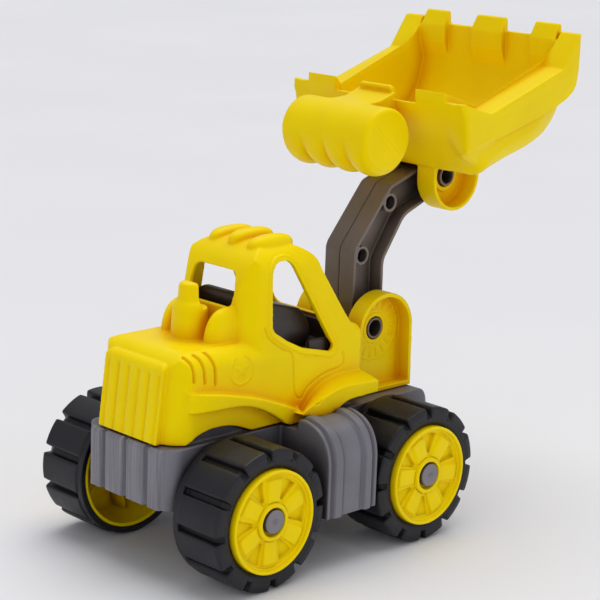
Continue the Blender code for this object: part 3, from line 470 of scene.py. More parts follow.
def make_rim(centre_x, side, phase):
    pitch = 360.0 / BLADES

    def blades(angles, out, radius):
        if not (9.2 < radius < 22.4) or out < 63.0:
            return out, radius
        turn = (np.degrees(angles) - phase + pitch / 2) % pitch - pitch / 2
        along = np.radians(turn) * radius
        half = 4.1 + 0.06 * (radius - 9.0)
        # parallel-sided blades: a crisp step on one side, a soft roll on the other
        blade = ramp(along, -half - 0.22, -half + 0.22) * (1.0 - ramp(along, half - 1.7, half + 0.5))
        crown = 1.3 + 0.3 * ramp(radius, 9.5, 18.0)
        crown = crown - 0.25 * (along / half) ** 2 - 0.9 * ramp(radius, 20.4, 21.8)
        # sunk fields between the blades, deeper towards one side
        middle = np.radians(pitch / 2 - np.abs(turn)) * radius * np.sign(turn)
        edge = (radius - 9.0) * 0.34
        field = (1.0 - ramp(np.abs(middle), edge - 0.3, edge + 0.2)) * float(11.5 < radius < 21.6)
        sunk = field * (1.7 + 0.16 * middle)
        return out + ramp(radius, 9.3, 9.9) * (blade * crown - (1 - blade) * sunk), radius

    profile = [(out, radius) for radius, out in RIM_HUB + RIM_FLAT + RIM_EDGE]
    rim = spun(fine(profile, 1.2), centre_x, side, WHEEL_STEPS, blades)
    # thin webs behind the face, from the hub to the barrel
    webs = []
    for i in range(BLADES):
        angle = math.radians(phase + pitch * i + 30.0)
        cos, sin = math.cos(angle), math.sin(angle)
        web = [
            (centre_x + u * cos - v * sin, AXLE_Z + u * sin + v * cos)
            for u, v in ((4.6, -0.8), (29.6, -0.8), (29.6, 0.8), (4.6, 0.8))
        ]
        webs.append(prism(web, *span(side, 50.0, 61.5)))
    return join(rim, *webs)


def make_cap(centre_x, side):
    profile = rounded(
        [
            (64.5, 2.3, 0.1), (64.5, CAP_RADIUS, 0.2), (RIM_FACE, CAP_RADIUS, 0.75),
            (RIM_FACE, 2.0, 0.6), (RIM_FACE - 0.5, 0.9, 0.3), (RIM_FACE - 0.5, 0.02, 0),
            (66.2, 0.02, 0), (66.2, 2.3, 0),
        ],
        9,
    )
    cap = spun(fine(profile, 0.5), centre_x, side, 144)
    for point in cap.data.vertices:
        point.co.x += CAP_SHIFT
        point.co.z += CAP_SHIFT
    return cap


def make_axle(centre_x):
    ends = [(-66.0, 0.02, 0), (-66.0, 2.0, 0.4), (66.0, 2.0, 0.4), (66.0, 0.02, 0)]
    return spun(rounded(ends, 9), centre_x, 1.0, 96)


# ---------------------------------------------------------------- chassis
# (y from, y to) of the bands across the rear bumper, and the middles of the gaps between them
BUMPER_BANDS = [(-25.5, -17.1), (-14.3, -1.3), (1.3, 14.3), (17.1, 25.5)]
BUMPER_GAPS = (-15.75, 0.0, 15.75)
TANK_ARC = curve(  # (y, z)
    [
        (43.8, 70.6), (45.2, 71.8), (48.0, 71.9), (51.0, 71.4), (56.0, 69.6), (60.5, 66.0),
        (63.4, 61.0), (64.8, 55.0), (65.0, 48.0),
    ],
    5,
)
TANK = [(30.5, 66.8), (43.4, 66.8)] + TANK_ARC + [(65.0, 27.0), (30.5, 27.0)]
TANK_HOLLOW = [
    (32.0, 20.0), (32.0, 64.3), (45.6, 64.3), (46.3, 69.2), (50.5, 69.0), (54.8, 67.5),
    (58.8, 64.2), (61.3, 60.0), (62.5, 54.6), (62.6, 47.0), (62.6, 20.0),
]
TANK_STRAPS = [  # (height, x from, x to, half width of the soft edge)
    (0.75, 36.2, 38.7, 0.35), (-0.5, 39.1, 40.5, 0.3), (1.55, 41.0, 46.4, 0.75),
    (-0.35, 46.9, 48.1, 0.3), (-0.35, 59.9, 61.0, 0.3), (1.5, 61.6, 66.4, 0.75),
    (-0.5, 66.9, 67.9, 0.3), (0.75, 68.4, 71.4, 0.35),
]


def tank_solid(outline, x0, x1, side):
    return prism([(side * y, z) for y, z in outline], x0, x1, "x")


def chassis_relief(points, normals):
    x, y, z = points.T
    away = np.abs(y)
    height = np.zeros(len(points))
    outward = (normals[:, 1] * np.sign(y) > 0.3) | (normals[:, 2] > 0.3)
    near = (away > 43.0) & (x > 36.0) & (x < 71.5) & outward
    near &= (np.abs(normals[:, 0]) < 0.5) & (normals[:, 2] > -0.6)
    for rise, start, end, soft in TANK_STRAPS:
        up = ramp(x[near], start - soft, start + soft)
        height[near] += rise * up * (1 - ramp(x[near], end - soft, end + soft))
    near = (x < -33.0) & (normals[:, 0] < -0.5) & (away < 30.0)
    for gap in BUMPER_GAPS:
        height[near] -= 0.7 * bell(y[near] - gap, width=0.75)
    return height


def make_chassis():
    side_view = [
        (-34.3, 36.5, 1.0), (-34.3, DECK_TOP, 3.2), (139.5, DECK_TOP, 5.0), (145.0, 57.0, 4.0),
        (145.0, 44.0, 6.0), (138.0, 29.0, 4.0), (-16.0, 29.0, 3.0), (-22.0, 36.5, 2.0),
    ]
    plan = [(-34.3, -32.0, 8.5), (145.0, -32.0, 4.5), (145.0, 32.0, 4.5), (-34.3, 32.0, 8.5)]
    chassis = prism(rounded(side_view), -40.0, 40.0)
    common(chassis, prism(rounded(plan, 15), 0.0, 90.0, "z"))
    side_view = [
        (-31.9, 20.0, 0), (-31.9, 64.3, 1.0), (137.2, 64.3, 4.0), (142.6, 56.4, 3.0),
        (142.6, 45.0, 4.0), (137.0, 31.4, 2.0), (137.0, 20.0, 0),
    ]
    plan = [(-31.9, -29.6, 6.5), (142.6, -29.6, 3.0), (142.6, 29.6, 3.0), (-31.9, 29.6, 6.5)]
    hollow = prism(rounded(side_view, 9), -40.0, 40.0)
    common(hollow, prism(rounded(plan), 0.0, 90.0, "z"))
    cut(chassis, hollow)
    profile = [
        (-36.1, 36.4, 1.0), (-36.1, 66.2, 2.6), (-33.0, 66.4, 0), (-30.0, 66.0, 0), (-30.0, 36.4, 0),
    ]
    for low, high in BUMPER_BANDS:
        plan = [(-36.1, low, 1.6), (-30.0, low, 0), (-30.0, high, 0), (-36.1, high, 1.6)]
        band = prism(rounded(plan, 9), 36.4, 70.0, "z")
        common(band, prism(rounded(profile, 9), -40.0, 40.0))
        union(chassis, band)
    for side in SIDES:
        union(chassis, tank_solid(TANK, 36.8, 70.4, side))
    for side in SIDES:
        cut(chassis, tank_solid(TANK_HOLLOW, 39.2, 68.4, side))
    for x in AXLE_X.values():
        both_sides(union, chassis, (rect(x - 6.0, x + 6.0, 29.0, 42.0), 24.5, 30.5))
    for x in (34.0, 82.0):
        union(chassis, box(x - 1.1, x + 1.1, -30.4, 30.4, 40.0, 65.0))
    for x, y in BODY_SCREWS + BRACKET_SCREWS:
        union(chassis, post(x, y, 5.4, 56.0, 65.6, 48))
    for x in AXLE_X.values():
        cut(chassis, rod(x, AXLE_Z, 2.35, -40.0, 40.0, 80))
    for x, y in BODY_SCREWS + BRACKET_SCREWS:
        cut(chassis, post(x, y, 3.6, 50.0, 60.2, 48))
        cut(chassis, post(x, y, 1.7, 55.0, 70.0, 36))
    # humps that rise through the deck over the rear axle and behind the front one
    rear_hump = curve(
        [
            (-23.0, 64.0), (-21.4, 67.4), (-17.6, 69.9), (-10.0, 72.1), (-3.0, 72.4), (4.0, 71.8),
            (11.0, 70.0), (18.0, 66.4), (20.0, 64.0),
        ]
    )
    front_hump = rounded(
        [(60.6, 64.0, 0), (60.6, 71.0, 1.0), (64.6, 75.0, 1.0), (88.4, 75.0, 1.0), (88.4, 64.0, 0)], 6
    )
    both_sides(union, chassis, (rear_hump, 25.4, 28.2), (front_hump, 25.4, 28.1))
    return relief(moulded(chassis, 0.46, 3), chassis_relief)


# ---------------------------------------------------------------- upper body
BODY_WALL = 2.3
SIDE_WINDOW = rounded(  # (x, z, corner radius)
    [
        (32.6, 113.6, 5.0), (35.0, 145.6, 7.0), (47.0, 146.4, 7.0), (73.4, 100.2, 1.9),
        (71.4, 97.6, 1.6), (52.0, 102.4, 14.0), (42.0, 107.4, 9.0),
    ]
)
REAR_WINDOW = rounded(  # (y, z, corner radius)
    [
        (-14.4, 124.6, 3.6), (-16.0, 132.0, 6.0), (-14.6, 142.2, 4.0), (14.6, 142.2, 4.0),
        (16.0, 132.0, 6.0), (14.4, 124.6, 3.6),
    ]
)
FRONT_WINDOW = rounded(
    [(-23.8, 110.0, 3.5), (-18.9, 140.6, 4.0), (18.9, 140.6, 4.0), (23.8, 110.0, 3.5)]
)
SEAM = curve(  # groove on the sides of the cab (x, z)
    [
        (27.3, 115.6), (30.2, 110.2), (37.8, 104.4), (43.3, 102.0), (45.2, 98.6), (45.9, 90.0),
        (46.6, 82.2), (48.5, 78.3), (51.3, 77.2), (53.3, 79.5), (55.3, 81.7), (59.3, 84.0),
        (65.4, 86.5), (71.0, 87.6), (76.6, 88.2), (80.1, 89.6), (80.7, 92.1), (79.7, 95.9),
    ],
    5,
)
VENTS = [  # slots on the sides of the hood (x, z)
    curve([(-21.9, 109.2), (-20.6, 108.0), (-19.3, 104.9), (-18.8, 97.6)], 5),
    curve([(-15.3, 109.5), (-13.1, 105.8), (-12.2, 95.9)], 5),
    curve([(-8.6, 109.8), (-6.9, 106.7), (-5.8, 101.6), (-5.6, 94.2)], 5),
]
BADGE = (11.2, 98.6)  # (x, z)
STAR = []
for _i in range(10):
    STAR += arc(*BADGE, 4.6 if _i % 2 == 0 else 2.0, 90.0 + 36.0 * _i, 450.0, 1)[:1]
STACK = [  # (z, radius)
    (104.0, 9.6), (108.0, 9.2), (122.0, 8.7), (125.0, 8.5), (126.8, 7.8), (128.0, 6.6),
    (129.0, 6.0), (131.0, 5.8), (134.8, 5.6), (136.3, 5.1), (136.8, 4.0), (136.9, 0.02),
    (104.0, 0.02),
]
WHEEL_ARCH = curve(
    [
        (-27.0, 62.0), (-24.6, 66.0), (-21.8, 68.0), (-18.0, 70.2), (-14.0, 71.7), (-9.0, 72.7),
        (-3.9, 73.0), (4.3, 72.2), (10.6, 70.4), (16.0, 68.3), (21.0, 66.4), (26.0, 62.0),
    ]
)
FRONT_CUT = [
    (61.0, 60.0), (61.0, 69.4), (64.2, 71.6), (69.7, 74.4), (75.3, 75.6), (84.0, 75.8),
    (96.0, 76.0), (96.0, 60.0),
]
REAR_GUARD = curve(  # upper edge, then lower edge (x, z)
    [
        (-28.0, 93.7), (-24.8, 93.2), (-14.2, 91.9), (-4.8, 90.3), (4.9, 88.0), (18.0, 84.5),
        (31.5, 79.5), (41.0, 75.6), (47.0, 72.4), (52.0, BODY_BASE),
    ]
) + curve(
    [
        (39.0, BODY_BASE), (36.0, 68.6), (31.8, 71.7), (25.0, 76.0), (18.2, 79.3), (11.6, 81.5),
        (5.1, 82.7), (-1.3, 83.2), (-14.0, 83.2), (-28.0, 82.4),
    ]
)
REAR_GUARD_EDGE = [  # (x, distance from the middle)
    (-22.6, 27.0), (-22.2, 30.2), (-20.6, 32.2), (-15.4, 34.6), (-8.0, 36.1), (0.0, 36.4),
]
# front mudguard: top edge at the body, top edge outside and lower edge (x, z)
FRONT_GUARD_IN = curve(
    [
        (51.5, 69.0), (54.6, 72.6), (56.5, 75.4), (59.1, 78.2), (62.4, 81.0), (67.2, 83.2),
        (74.2, 85.0), (83.0, 85.2), (93.4, 85.0),
    ]
)
FRONT_GUARD_OUT = curve(
    [
        (40.6, 74.2), (43.4, 76.2), (48.0, 77.8), (53.6, 79.5), (60.4, 81.5), (66.3, 82.7),
        (74.0, 83.0), (83.0, 82.4), (93.4, 82.0),
    ]
)
FRONT_GUARD_LOW = curve(
    [
        (40.4, 73.4), (44.0, 72.4), (51.0, 70.7), (57.5, 69.8), (64.1, 71.5), (69.8, 74.3),
        (75.3, 75.5), (84.0, 75.6), (93.4, 75.8),
    ]
)


def hood_solid(shrink):
    half, radius, top = HOOD_HALF - shrink, 11.0 - shrink, HOOD_TOP - shrink
    rear, front = -31.2 + shrink, 93.5 - shrink
    side_view = [
        (rear, 60.0, 0), (-27.4 + shrink, top, 10.5 - shrink),
        (front, HOOD_TOP - 1.5 - shrink, 3.0), (front, 60.0, 0),
    ]
    plan = [
        (rear, -half, radius + 2.5), (front, -half, 3.0), (front, half, 3.0),
        (rear, half, radius + 2.5),
    ]
    end_view = [
        (-half, 60.0, 0), (-half + 1.0, top, 10.0 - shrink), (half - 1.0, top, 10.0 - shrink),
        (half, 60.0, 0),
    ]
    hood = prism(rounded(side_view, 15), -50.0, 50.0)
    upright = prism(rounded(plan, 15), 60.0, 130.0, "z")
    # the rear end leans forward
    for point in upright.data.vertices:
        if point.co.x < 0.0:
            point.co.x += 0.088 * (point.co.z - BODY_BASE)
    return common(hood, triangulated(upright), prism(rounded(end_view, 15), -60.0, 120.0, "x"))


def cab_solid(shrink, base):
    d = shrink
    top = curve(
        [
            (15.4 + d, 112.0), (17.7 + d, 131.0), (19.8 + d, 140.0 - d * 0.3),
            (23.6 + d * 0.8, 147.2 - d * 0.7), (30.0 + d * 0.4, 152.0 - d), (38.0, ROOF_TOP - d),
            (48.0, 153.2 - d), (57.5 - d * 0.4, 150.4 - d), (64.5 - d * 0.7, 145.2 - d * 0.7),
            (68.8 - d, 137.4), (84.2 - d, 112.8), (89.0 - d, 108.6 - d * 0.5),
        ],
        6,
    )
    half, roof_half = CAB_HALF + 0.8 - d, CAB_HALF - 5.5 - d
    end_top = ROOF_TOP + 1.0 - d
    narrowing = (half - roof_half) / (end_top - base)
    end_view = [
        (-half, base - 1.0, 0), (-roof_half, end_top, 16.0 - d), (roof_half, end_top, 16.0 - d),
        (half, base - 1.0, 0),
    ]
    plan = [
        (13.4 + d, -half, 14.5 - d), (120.0, -half, 0), (120.0, half, 0), (13.4 + d, half, 14.5 - d),
    ]
    cab = prism([(13.6 + d, base)] + top + [(90.5 - d, base)], -50.0, 50.0)
    upright = prism(rounded(plan, 18), base - 2.0, 170.0, "z")
    # it narrows towards the roof and leans forward
    for point in upright.data.vertices:
        point.co.y *= 1.0 - narrowing * (point.co.z - base) / half
        point.co.x += 0.115 * (point.co.z - 104.0)
    triangulated(upright)
    return common(cab, prism(rounded(end_view, 18), 0.0, 120.0, "x"), upright)


def add_mudguards(hood):
    for side in SIDES:
        guard = prism(REAR_GUARD, *span(side, 29.6, 36.4))
        plan = curve([(x, side * y) for x, y in REAR_GUARD_EDGE])
        plan += [(60.0, side * 36.4), (60.0, side * 27.0)]
        common(guard, prism(plan, 50.0, 110.0, "z"))
        union(hood, guard)
    both_sides(cut, hood, (FRONT_CUT, 28.2, 45.0))
    both_sides(cut, hood, (rect(90.0, 96.0, 60.0, 75.6), 25.0, 30.0))
    for side in SIDES:
        near, far = side * 29.6, side * 43.0
        rows = []
        for low, top_in, top_out in zip(FRONT_GUARD_LOW, FRONT_GUARD_IN, FRONT_GUARD_OUT):
            root_x = low[0] + (0.0 if rows else 10.0)
            rows.append(
                [
                    (root_x, near, low[1] - 0.2), (top_in[0], near, top_in[1]),
                    (top_out[0], far, top_out[1]), (low[0], far, low[1]),
                ]
            )
        union(hood, triangulated(loft(rows)))


def body_relief(points, normals):
    x, y, z = points.T
    away = np.abs(y)
    outward = normals[:, 1] * np.sign(y)
    height = np.zeros(len(points))
    # seam, and a rim round each side window
    near = (outward > 0.55) & (away > 22.0) & (x > 20) & (x < 86) & (z > 74) & (z < 152)
    height[near] -= 0.62 * bell(to_line(x[near], z[near], SEAM), width=0.42)
    gap = to_line(x[near], z[near], SIDE_WINDOW, closed=True)
    height[near] += 0.45 * bell(gap - 2.3, width=0.55) - 0.12 * bell(gap - 3.4, width=0.5)
    # deep slots
    near = (outward > 0.2) & (away > 24.0) & (x < 3) & (z > 88) & (z < 112)
    for line in VENTS:
        gap = to_line(x[near], z[near], line)
        height[near] -= 1.25 * (1 - ramp(gap, 0.4, 1.0))
        height[near] -= -0.12 * bell(gap - 1.15, width=0.35) if False else 0.0
        height[near] += -0.0
    return height


def body_relief(points, normals):
    """Seam, window rims, hood slots, star badge and rear ribs."""
    x, y, z = points.T
    away = np.abs(y)
    outward = normals[:, 1] * np.sign(y)
    height = np.zeros(len(points))
    near = (outward > 0.55) & (away > 22.0) & (x > 20) & (x < 86) & (z > 74) & (z < 152)
    height[near] -= 0.62 * bell(to_line(x[near], z[near], SEAM), width=0.42)
    gap = to_line(x[near], z[near], SIDE_WINDOW, closed=True)
    height[near] += 0.45 * bell(gap - 2.3, width=0.55) - 0.12 * bell(gap - 3.4, width=0.5)
    # deep slots with a slight lip
    near = (outward > 0.2) & (away > 24.0) & (x < 3) & (z > 88) & (z < 112)
    for line in VENTS:
        gap = to_line(x[near], z[near], line)
        height[near] -= 1.25 * (1 - ramp(gap, 0.4, 1.0)) - 0.12 * bell(gap - 1.15, width=0.35)
    # raised star in a ring
    from_badge = np.hypot(x - BADGE[0], z - BADGE[1])
    near = (outward > 0.55) & (away > 29.0) & (from_badge < 10)
    u, v = x[near], z[near]
    gap = to_line(u, v, STAR, closed=True) * np.where(inside(u, v, STAR), -1.0, 1.0)
    ring = np.abs(from_badge[near] - 7.0)
    height[near] += 0.38 * (1 - ramp(gap, -0.35, 0.35)) + 0.38 * (1 - ramp(ring, 0.3, 0.8))
    # upright ribs of the rear panel, with rounded upper ends
    near = (normals[:, 0] < -0.5) & (x < -27.0) & (away < 20.4)
    near &= (z > BODY_BASE + 0.5) & (z < 105.4)
    pitch = 7.4
    across = (away[near] + pitch / 2) % pitch - pitch / 2
    droop = 1.6 * (across / 3.0) ** 2
    fade = 1 - ramp(z[near], 101.8 - droop, 103.6 - droop)
    crown = np.sqrt(np.clip(1.0 - (np.abs(across) / 3.75) ** 2.4, 0, 1)) - 1.0
    height[near] += fade * (1.5 * crown) * ramp(20.4 - away[near], 0.0, 0.6)
    return height


def soft_roots(x, y, z):
    """Where the ribs, humps, stack and guards grow out of the moulding."""
    roof = (z > 148.5) & (x > 24) & (x < 63)
    humps = (x > -3) & (x < 17.5) & (z > 108.5) & (z < 127.5) & (y < 22)
    stack = (x > -9) & (x < 24) & (z > 106) & (z < 113.5) & (y < 24)
    guards = (y > 29.5) & (z < 100.0) & (z > 70.0)
    return roof | humps | stack | guards


def make_body():
    hood = cut(hood_solid(0.0), box(-60.0, 120.0, -60.0, 60.0, 40.0, BODY_BASE))
    union(hood, cab_solid(0.0, 100.0))
    side_view = [
        (-34.4, BODY_BASE, 0), (-30.0, 105.6, 4.4), (-18.0, 105.6, 0), (-18.0, BODY_BASE, 0),
    ]
    end_view = [(-21.2, 60.0, 0), (-21.2, 105.6, 3.6), (21.2, 105.6, 3.6), (21.2, 60.0, 0)]
    rear_panel = prism(rounded(side_view), -21.2, 21.2)
    common(rear_panel, prism(rounded(end_view), -60.0, 60.0, "x"))
    union(hood, rear_panel)
    union(hood, turned(STACK, 4.2, 0.0))
    for side in SIDES:
        union(hood, lump(14.5, side * 15.4, 105.5, 14.2, 5.0, 20.3))
    cut(hood, hood_solid(BODY_WALL))
    cut(hood, cab_solid(BODY_WALL, 90.0))
    # three rounded ribs along the roof
    for y, z in ((-13.6, 152.4), (0.0, 153.4), (13.6, 152.4)):
        union(hood, lump(43.2, y, z, 14.0, 5.0, 5.2))
    cut(hood, prism(SIDE_WINDOW, -40.0, 40.0))
    cut(hood, prism(REAR_WINDOW, 5.0, 27.0, "x"))
    cut(hood, prism(FRONT_WINDOW, 58.0, 100.0, "x"))
    both_sides(cut, hood, (WHEEL_ARCH, 27.0, 40.0))
    add_mudguards(hood)
    for x, y in BODY_SCREWS:
        union(hood, post(x, y, 4.2, BODY_BASE, 109.0 if x < 0 else 80.0, 42))
    both_sides(union, hood, (rect(56.6, 59.4, 70.0, 80.0), 19.0, 30.0))
    for x, y in BODY_SCREWS:
        cut(hood, post(x, y, 1.6, 60.0, 77.0, 36))
    moulded(hood, 0.42, 4)
    soften(hood, soft_roots, 7)
    return relief(hood, body_relief)


# ---------------------------------------------------------------- seat insert
SEAT_HOLLOW = [  # (x, z)
    (26.4, 90.0), (26.4, 123.6), (29.6, 124.8), (42.6, 119.8), (53.4, 116.8), (59.6, 114.0),
    (64.4, 109.6), (66.0, 105.4), (63.6, 90.0),
]


def make_seat():
    seat = box(24.0, 83.4, -26.4, 26.4, 96.0, 98.2)
    side_view = [
        (24.0, 97.0, 0), (24.0, 129.6, 2.5), (29.0, 129.4, 6.0), (44.0, 123.4, 20.0),
        (63.0, 118.2, 8.0), (70.4, 106.0, 7.0), (65.0, 97.0, 0),
    ]
    end_view = [(-17.7, 90.0, 0), (-17.4, 129.7, 4.5), (17.4, 129.7, 4.5), (17.7, 90.0, 0)]
    block = prism(rounded(side_view), -17.7, 17.7)
    common(block, prism(rounded(end_view), 0.0, 90.0, "x"))
    union(seat, block)
    # shallow tub ahead of the seat, with a higher front wall
    tub = box(60.0, 83.4, -26.0, 26.0, 97.0, 104.0)
    front_wall = [(79.6, 97.0, 0), (79.6, 108.6, 2.5), (83.4, 109.2, 1.6), (83.4, 97.0, 0)]
    union(tub, prism(rounded(front_wall), -24.0, 24.0))
    cut(tub, box(55.0, 81.4, -24.2, 24.2, 98.2, 120.0))
    union(seat, tub)
    both_sides(union, seat, (rect(30.0, 50.0, DECK_TOP + 0.3, 97.0), 19.2, 21.6))
    cut(seat, prism(SEAT_HOLLOW, -14.6, 14.6))
    moulded(seat, 0.5, 4)
    soften(seat, lambda x, y, z: (z > 99.0) & (x > 25.0), 14)
    return seat


# ---------------------------------------------------------------- arm bracket
def bracket_relief(points, normals):
    """Raised ticks between two rings, round the pivot on the sunk face of each cheek."""
    x, y, z = points.T
    away = np.abs(y)
    height = np.zeros(len(points))
    near = (normals[:, 1] * np.sign(y) > 0.7) & (away > BRACKET_IN + 2.0) & (away < BRACKET_IN + 4.0)
    u, v = x[near] - ARM_PIVOT[0], z[near] - ARM_PIVOT[1]
    radius = np.hypot(u, v)
    angle = np.degrees(np.arctan2(v, u))
    pitch = 20.0
    along = np.abs((angle + pitch / 2) % pitch - pitch / 2) * np.pi / 180.0 * radius
    ticks = (1 - ramp(along, 0.35, 0.8)) * ramp(radius, 10.0, 10.8) * (1 - ramp(radius, 15.2, 16.0))
    rings = bell(radius - 16.6, width=0.45) + 0.8 * bell(radius - 9.4, width=0.4)
    height[near] += 0.5 * ticks + 0.32 * rings
    return height


def make_bracket():
    base = BODY_BASE
    cheek_line = [(98.4, base), (139.0, base), (138.4, 92.0)]
    cheek_line += arc(118.4, 99.0, 19.9, 2.0, 178.0, 80) + [(98.4, 92.0)]
    bracket = box(98.6, 138.9, -16.0, 16.0, base, base + 2.4)
    for side in SIDES:
        cheek = prism(cheek_line, *span(side, BRACKET_IN, CHEEK_OUT))
        recess = prism(inset(cheek_line, 2.2), *span(side, BRACKET_IN + 2.6, CHEEK_OUT + 3.0))
        cut(cheek, recess)
        union(cheek, rod(*ARM_PIVOT, 8.0, *span(side, BRACKET_IN + 1.0, BRACKET_IN + 3.1), 112))
        union(bracket, cheek)
    for x, y in BRACKET_SCREWS:
        union(bracket, post(x, y, 3.6, base + 1.0, base + 10.5, 42))
    cut(bracket, rod(*ARM_PIVOT, PIVOT_HOLE, -30.0, 30.0, 112))
    for x, y in BRACKET_SCREWS:
        cut(bracket, post(x, y, 1.6, 60.0, base + 9.0, 36))
    return relief(moulded(bracket, 0.34, 4), bracket_relief)


# ---------------------------------------------------------------- lifting arm
ARM_FRONT = [  # (x, z, corner radius)
    (112.0, 99.0, 0), (128.6, 102.0, 3.0), (128.5, 132.7, 9.0), (143.0, 154.2, 12.0),
    (157.3, 159.8, 12.0), (163.2, 164.0, 4.0), (169.0, 168.0, 0), (160.0, 170.0, 0),
]
ARM_TOP = [(160.0, 181.3), (150.0, 178.2), (143.0, 175.6), (130.4, 171.3)]
ARM_REAR = [
    (150.0, 178.2, 0), (131.2, 171.6, 7.0), (106.1, 140.9, 9.0), (106.1, 113.0, 6.0),
    (107.0, 101.0, 0),
]


def arm_outline():
    front = rounded(ARM_FRONT, 9)
    first = next(i for i, q in enumerate(front) if q[1] > 102.5)
    last = max(i for i, q in enumerate(front) if q[0] < 164.0 and q[1] < 166.0)
    outline = arc(*ARM_PIVOT, 10.6, 200.0, 352.0, 40) + front[first : last + 1]
    outline += arc(*BUCKET_PIVOT, 9.0, -78.0, 96.0, 40)
    return outline + curve(ARM_TOP)[:8] + rounded(ARM_REAR, 9)[1:]


def make_arm(side):
    """One half of the arm; the right half takes the screw heads, the left half their threads."""
    outline = arm_outline()
    half = prism(outline, *span(side, 0.1, ARM_HALF))
    cut(half, prism(inset(outline, 2.0), *span(side, 2.3, ARM_HALF + 3.0)))
    boss_radius, boss_end = (5.0, ARM_HALF - 0.1) if side < 0 else (3.6, 8.6)
    for x, z in ARM_SCREWS:
        union(half, rod(x, z, boss_radius, *span(side, 1.0, boss_end), 80))
    for pivot in (ARM_PIVOT, BUCKET_PIVOT):
        if pivot == ARM_PIVOT:
            union(half, rod(*pivot, 8.6, *span(side, 1.0, BRACKET_IN - 0.3), 112))
        union(half, rod(*pivot, TRUNNION_RADIUS, *span(side, 1.0, TRUNNION_END), 112))
        cut(half, rod(*pivot, TRUNNION_BORE, -30.0, 30.0, 96))
    for x, z in ARM_SCREWS:
        if side < 0:
            cut(half, rod(x, z, 3.4, -12.0, -3.4, 80), rod(x, z, 1.5, -6.0, 3.0, 48))
        else:
            cut(half, rod(x, z, 1.45, -3.0, 7.6, 48))
    return moulded(half, 0.34, 4)


# ---------------------------------------------------------------- bucket
# Side views (x, z). The bowl opens upwards; its line runs down the front, under and up the back.
BOWL_FRONT = curve(
    [
        (218.3, 247.5), (218.3, 238.0), (218.1, 228.0), (216.4, 217.4), (212.6, 207.8),
        (206.4, 200.2), (198.4, 195.0), (188.0, 191.4), (171.0, 186.9), (158.0, 183.0),
    ],
    5,
)
BOWL_TURN = rounded([(158.0, 183.0, 0), (148.6, 180.2, 3.0), (139.6, 193.0, 0)])
BOWL_BACK = curve([(139.6, 193.0), (134.4, 200.6), (130.0, 209.0), (126.4, 219.4)], 5)
BOWL_LINE = BOWL_FRONT[:-1] + BOWL_TURN[1:-1] + BOWL_BACK
BOWL_TOP = [(126.4, 224.0), (150.0, 216.0), (202.6, 236.0), (214.0, 246.3), (218.3, 246.3)]
END_LINE = [
    (218.3, 264.0), (218.3, 240.0), (218.2, 228.0), (217.6, 222.0), (216.4, 217.0),
    (214.8, 212.0), (212.6, 207.8), (209.8, 203.6), (206.4, 200.0), (202.6, 197.0),
    (198.4, 195.0), (193.4, 193.1), (188.0, 191.4), (180.0, 189.2), (171.0, 186.9),
    (157.6, 182.9), (149.2, 180.3), (139.6, 193.0), (134.4, 200.6), (130.0, 209.0),
    (121.0, 236.0),
]
END_STATIONS = [  # (distance from the middle, how far the end line is drawn in)
    (46.3, 0.0), (48.0, 0.2), (49.5, 0.6), (51.0, 1.2), (52.3, 2.0), (53.4, 2.9), (54.4, 4.0),
    (55.3, 5.4), (56.2, 7.2), (57.0, 9.2), (57.6, 11.4),
]
END_LIMIT = [
    (230.0, 150.0), (230.0, 246.0), (217.0, 246.0), (202.4, 232.1), (148.0, 213.6),
    (128.5, 219.4), (110.0, 219.4), (110.0, 150.0),
]
TOP_BAND = [
    (218.3, 248.6), (217.2, 249.6), (214.6, 249.4), (202.6, 232.1), (148.0, 213.6),
    (148.8, 211.2), (203.6, 229.6), (215.4, 243.0), (218.3, 243.4),
]
SKIRT_LOW = curve(
    [
        (132.8, 193.3), (138.4, 194.8), (152.0, 198.7), (165.9, 202.6), (181.7, 206.9),
        (195.1, 210.6), (203.0, 213.6), (211.0, 217.6), (215.8, 222.8), (218.25, 231.0),
    ]
)
SKIRT = [
    (218.3, 248.4), (217.0, 249.5), (214.6, 249.2), (202.6, 231.9), (148.0, 213.4),
    (128.6, 219.2), (127.0, 218.6), (129.3, 209.0),
] + SKIRT_LOW
FRONT_LIP = [(218.3, 249.4)] + SKIRT_LOW[:-14:-1] + [
    (202.4, 216.2), (209.4, 220.0), (213.4, 224.4), (215.6, 231.4), (215.6, 249.2),
]
REAR_STRIP = [
    (126.4, 219.4), (129.3, 209.0), (132.8, 193.3), (135.9, 194.2), (132.1, 209.9), (129.3, 219.6),
]
# outlines of the back wall, from near the middle out to the end of the bucket
WALL = [
    (126.8, 218.9), (130.2, 209.0), (133.0, 203.4), (136.4, 197.8), (140.4, 192.4),
    (146.0, 186.6), (150.0, 188.0), (142.0, 214.0),
]
WALL_SWEPT = [
    (126.5, 219.2), (129.3, 209.0), (130.9, 202.0), (132.5, 195.0), (136.6, 190.6),
    (143.0, 187.4), (150.0, 190.0), (142.0, 214.0),
]
WALL_TUCKED = [
    (126.6, 219.2), (129.4, 209.0), (131.2, 202.0), (133.2, 195.6), (137.0, 193.2),
    (142.4, 192.6), (150.0, 194.6), (142.0, 214.0),
]
WALL_DRAWN = [
    (127.6, 219.0), (130.8, 209.0), (132.6, 202.4), (134.6, 197.2), (138.2, 196.4),
    (143.4, 197.0), (150.0, 199.0), (142.0, 214.0),
]
BUCKET_PLAN = [  # (x, y, corner radius)
    (218.3, -BUCKET_HALF, 4.2), (218.3, BUCKET_HALF, 4.2), (126.0, BUCKET_HALF, 5.0),
    (126.0, 34.0, 0), (60.0, 34.0, 0), (60.0, -34.0, 0), (126.0, -34.0, 0),
    (126.0, -BUCKET_HALF, 5.0),
]
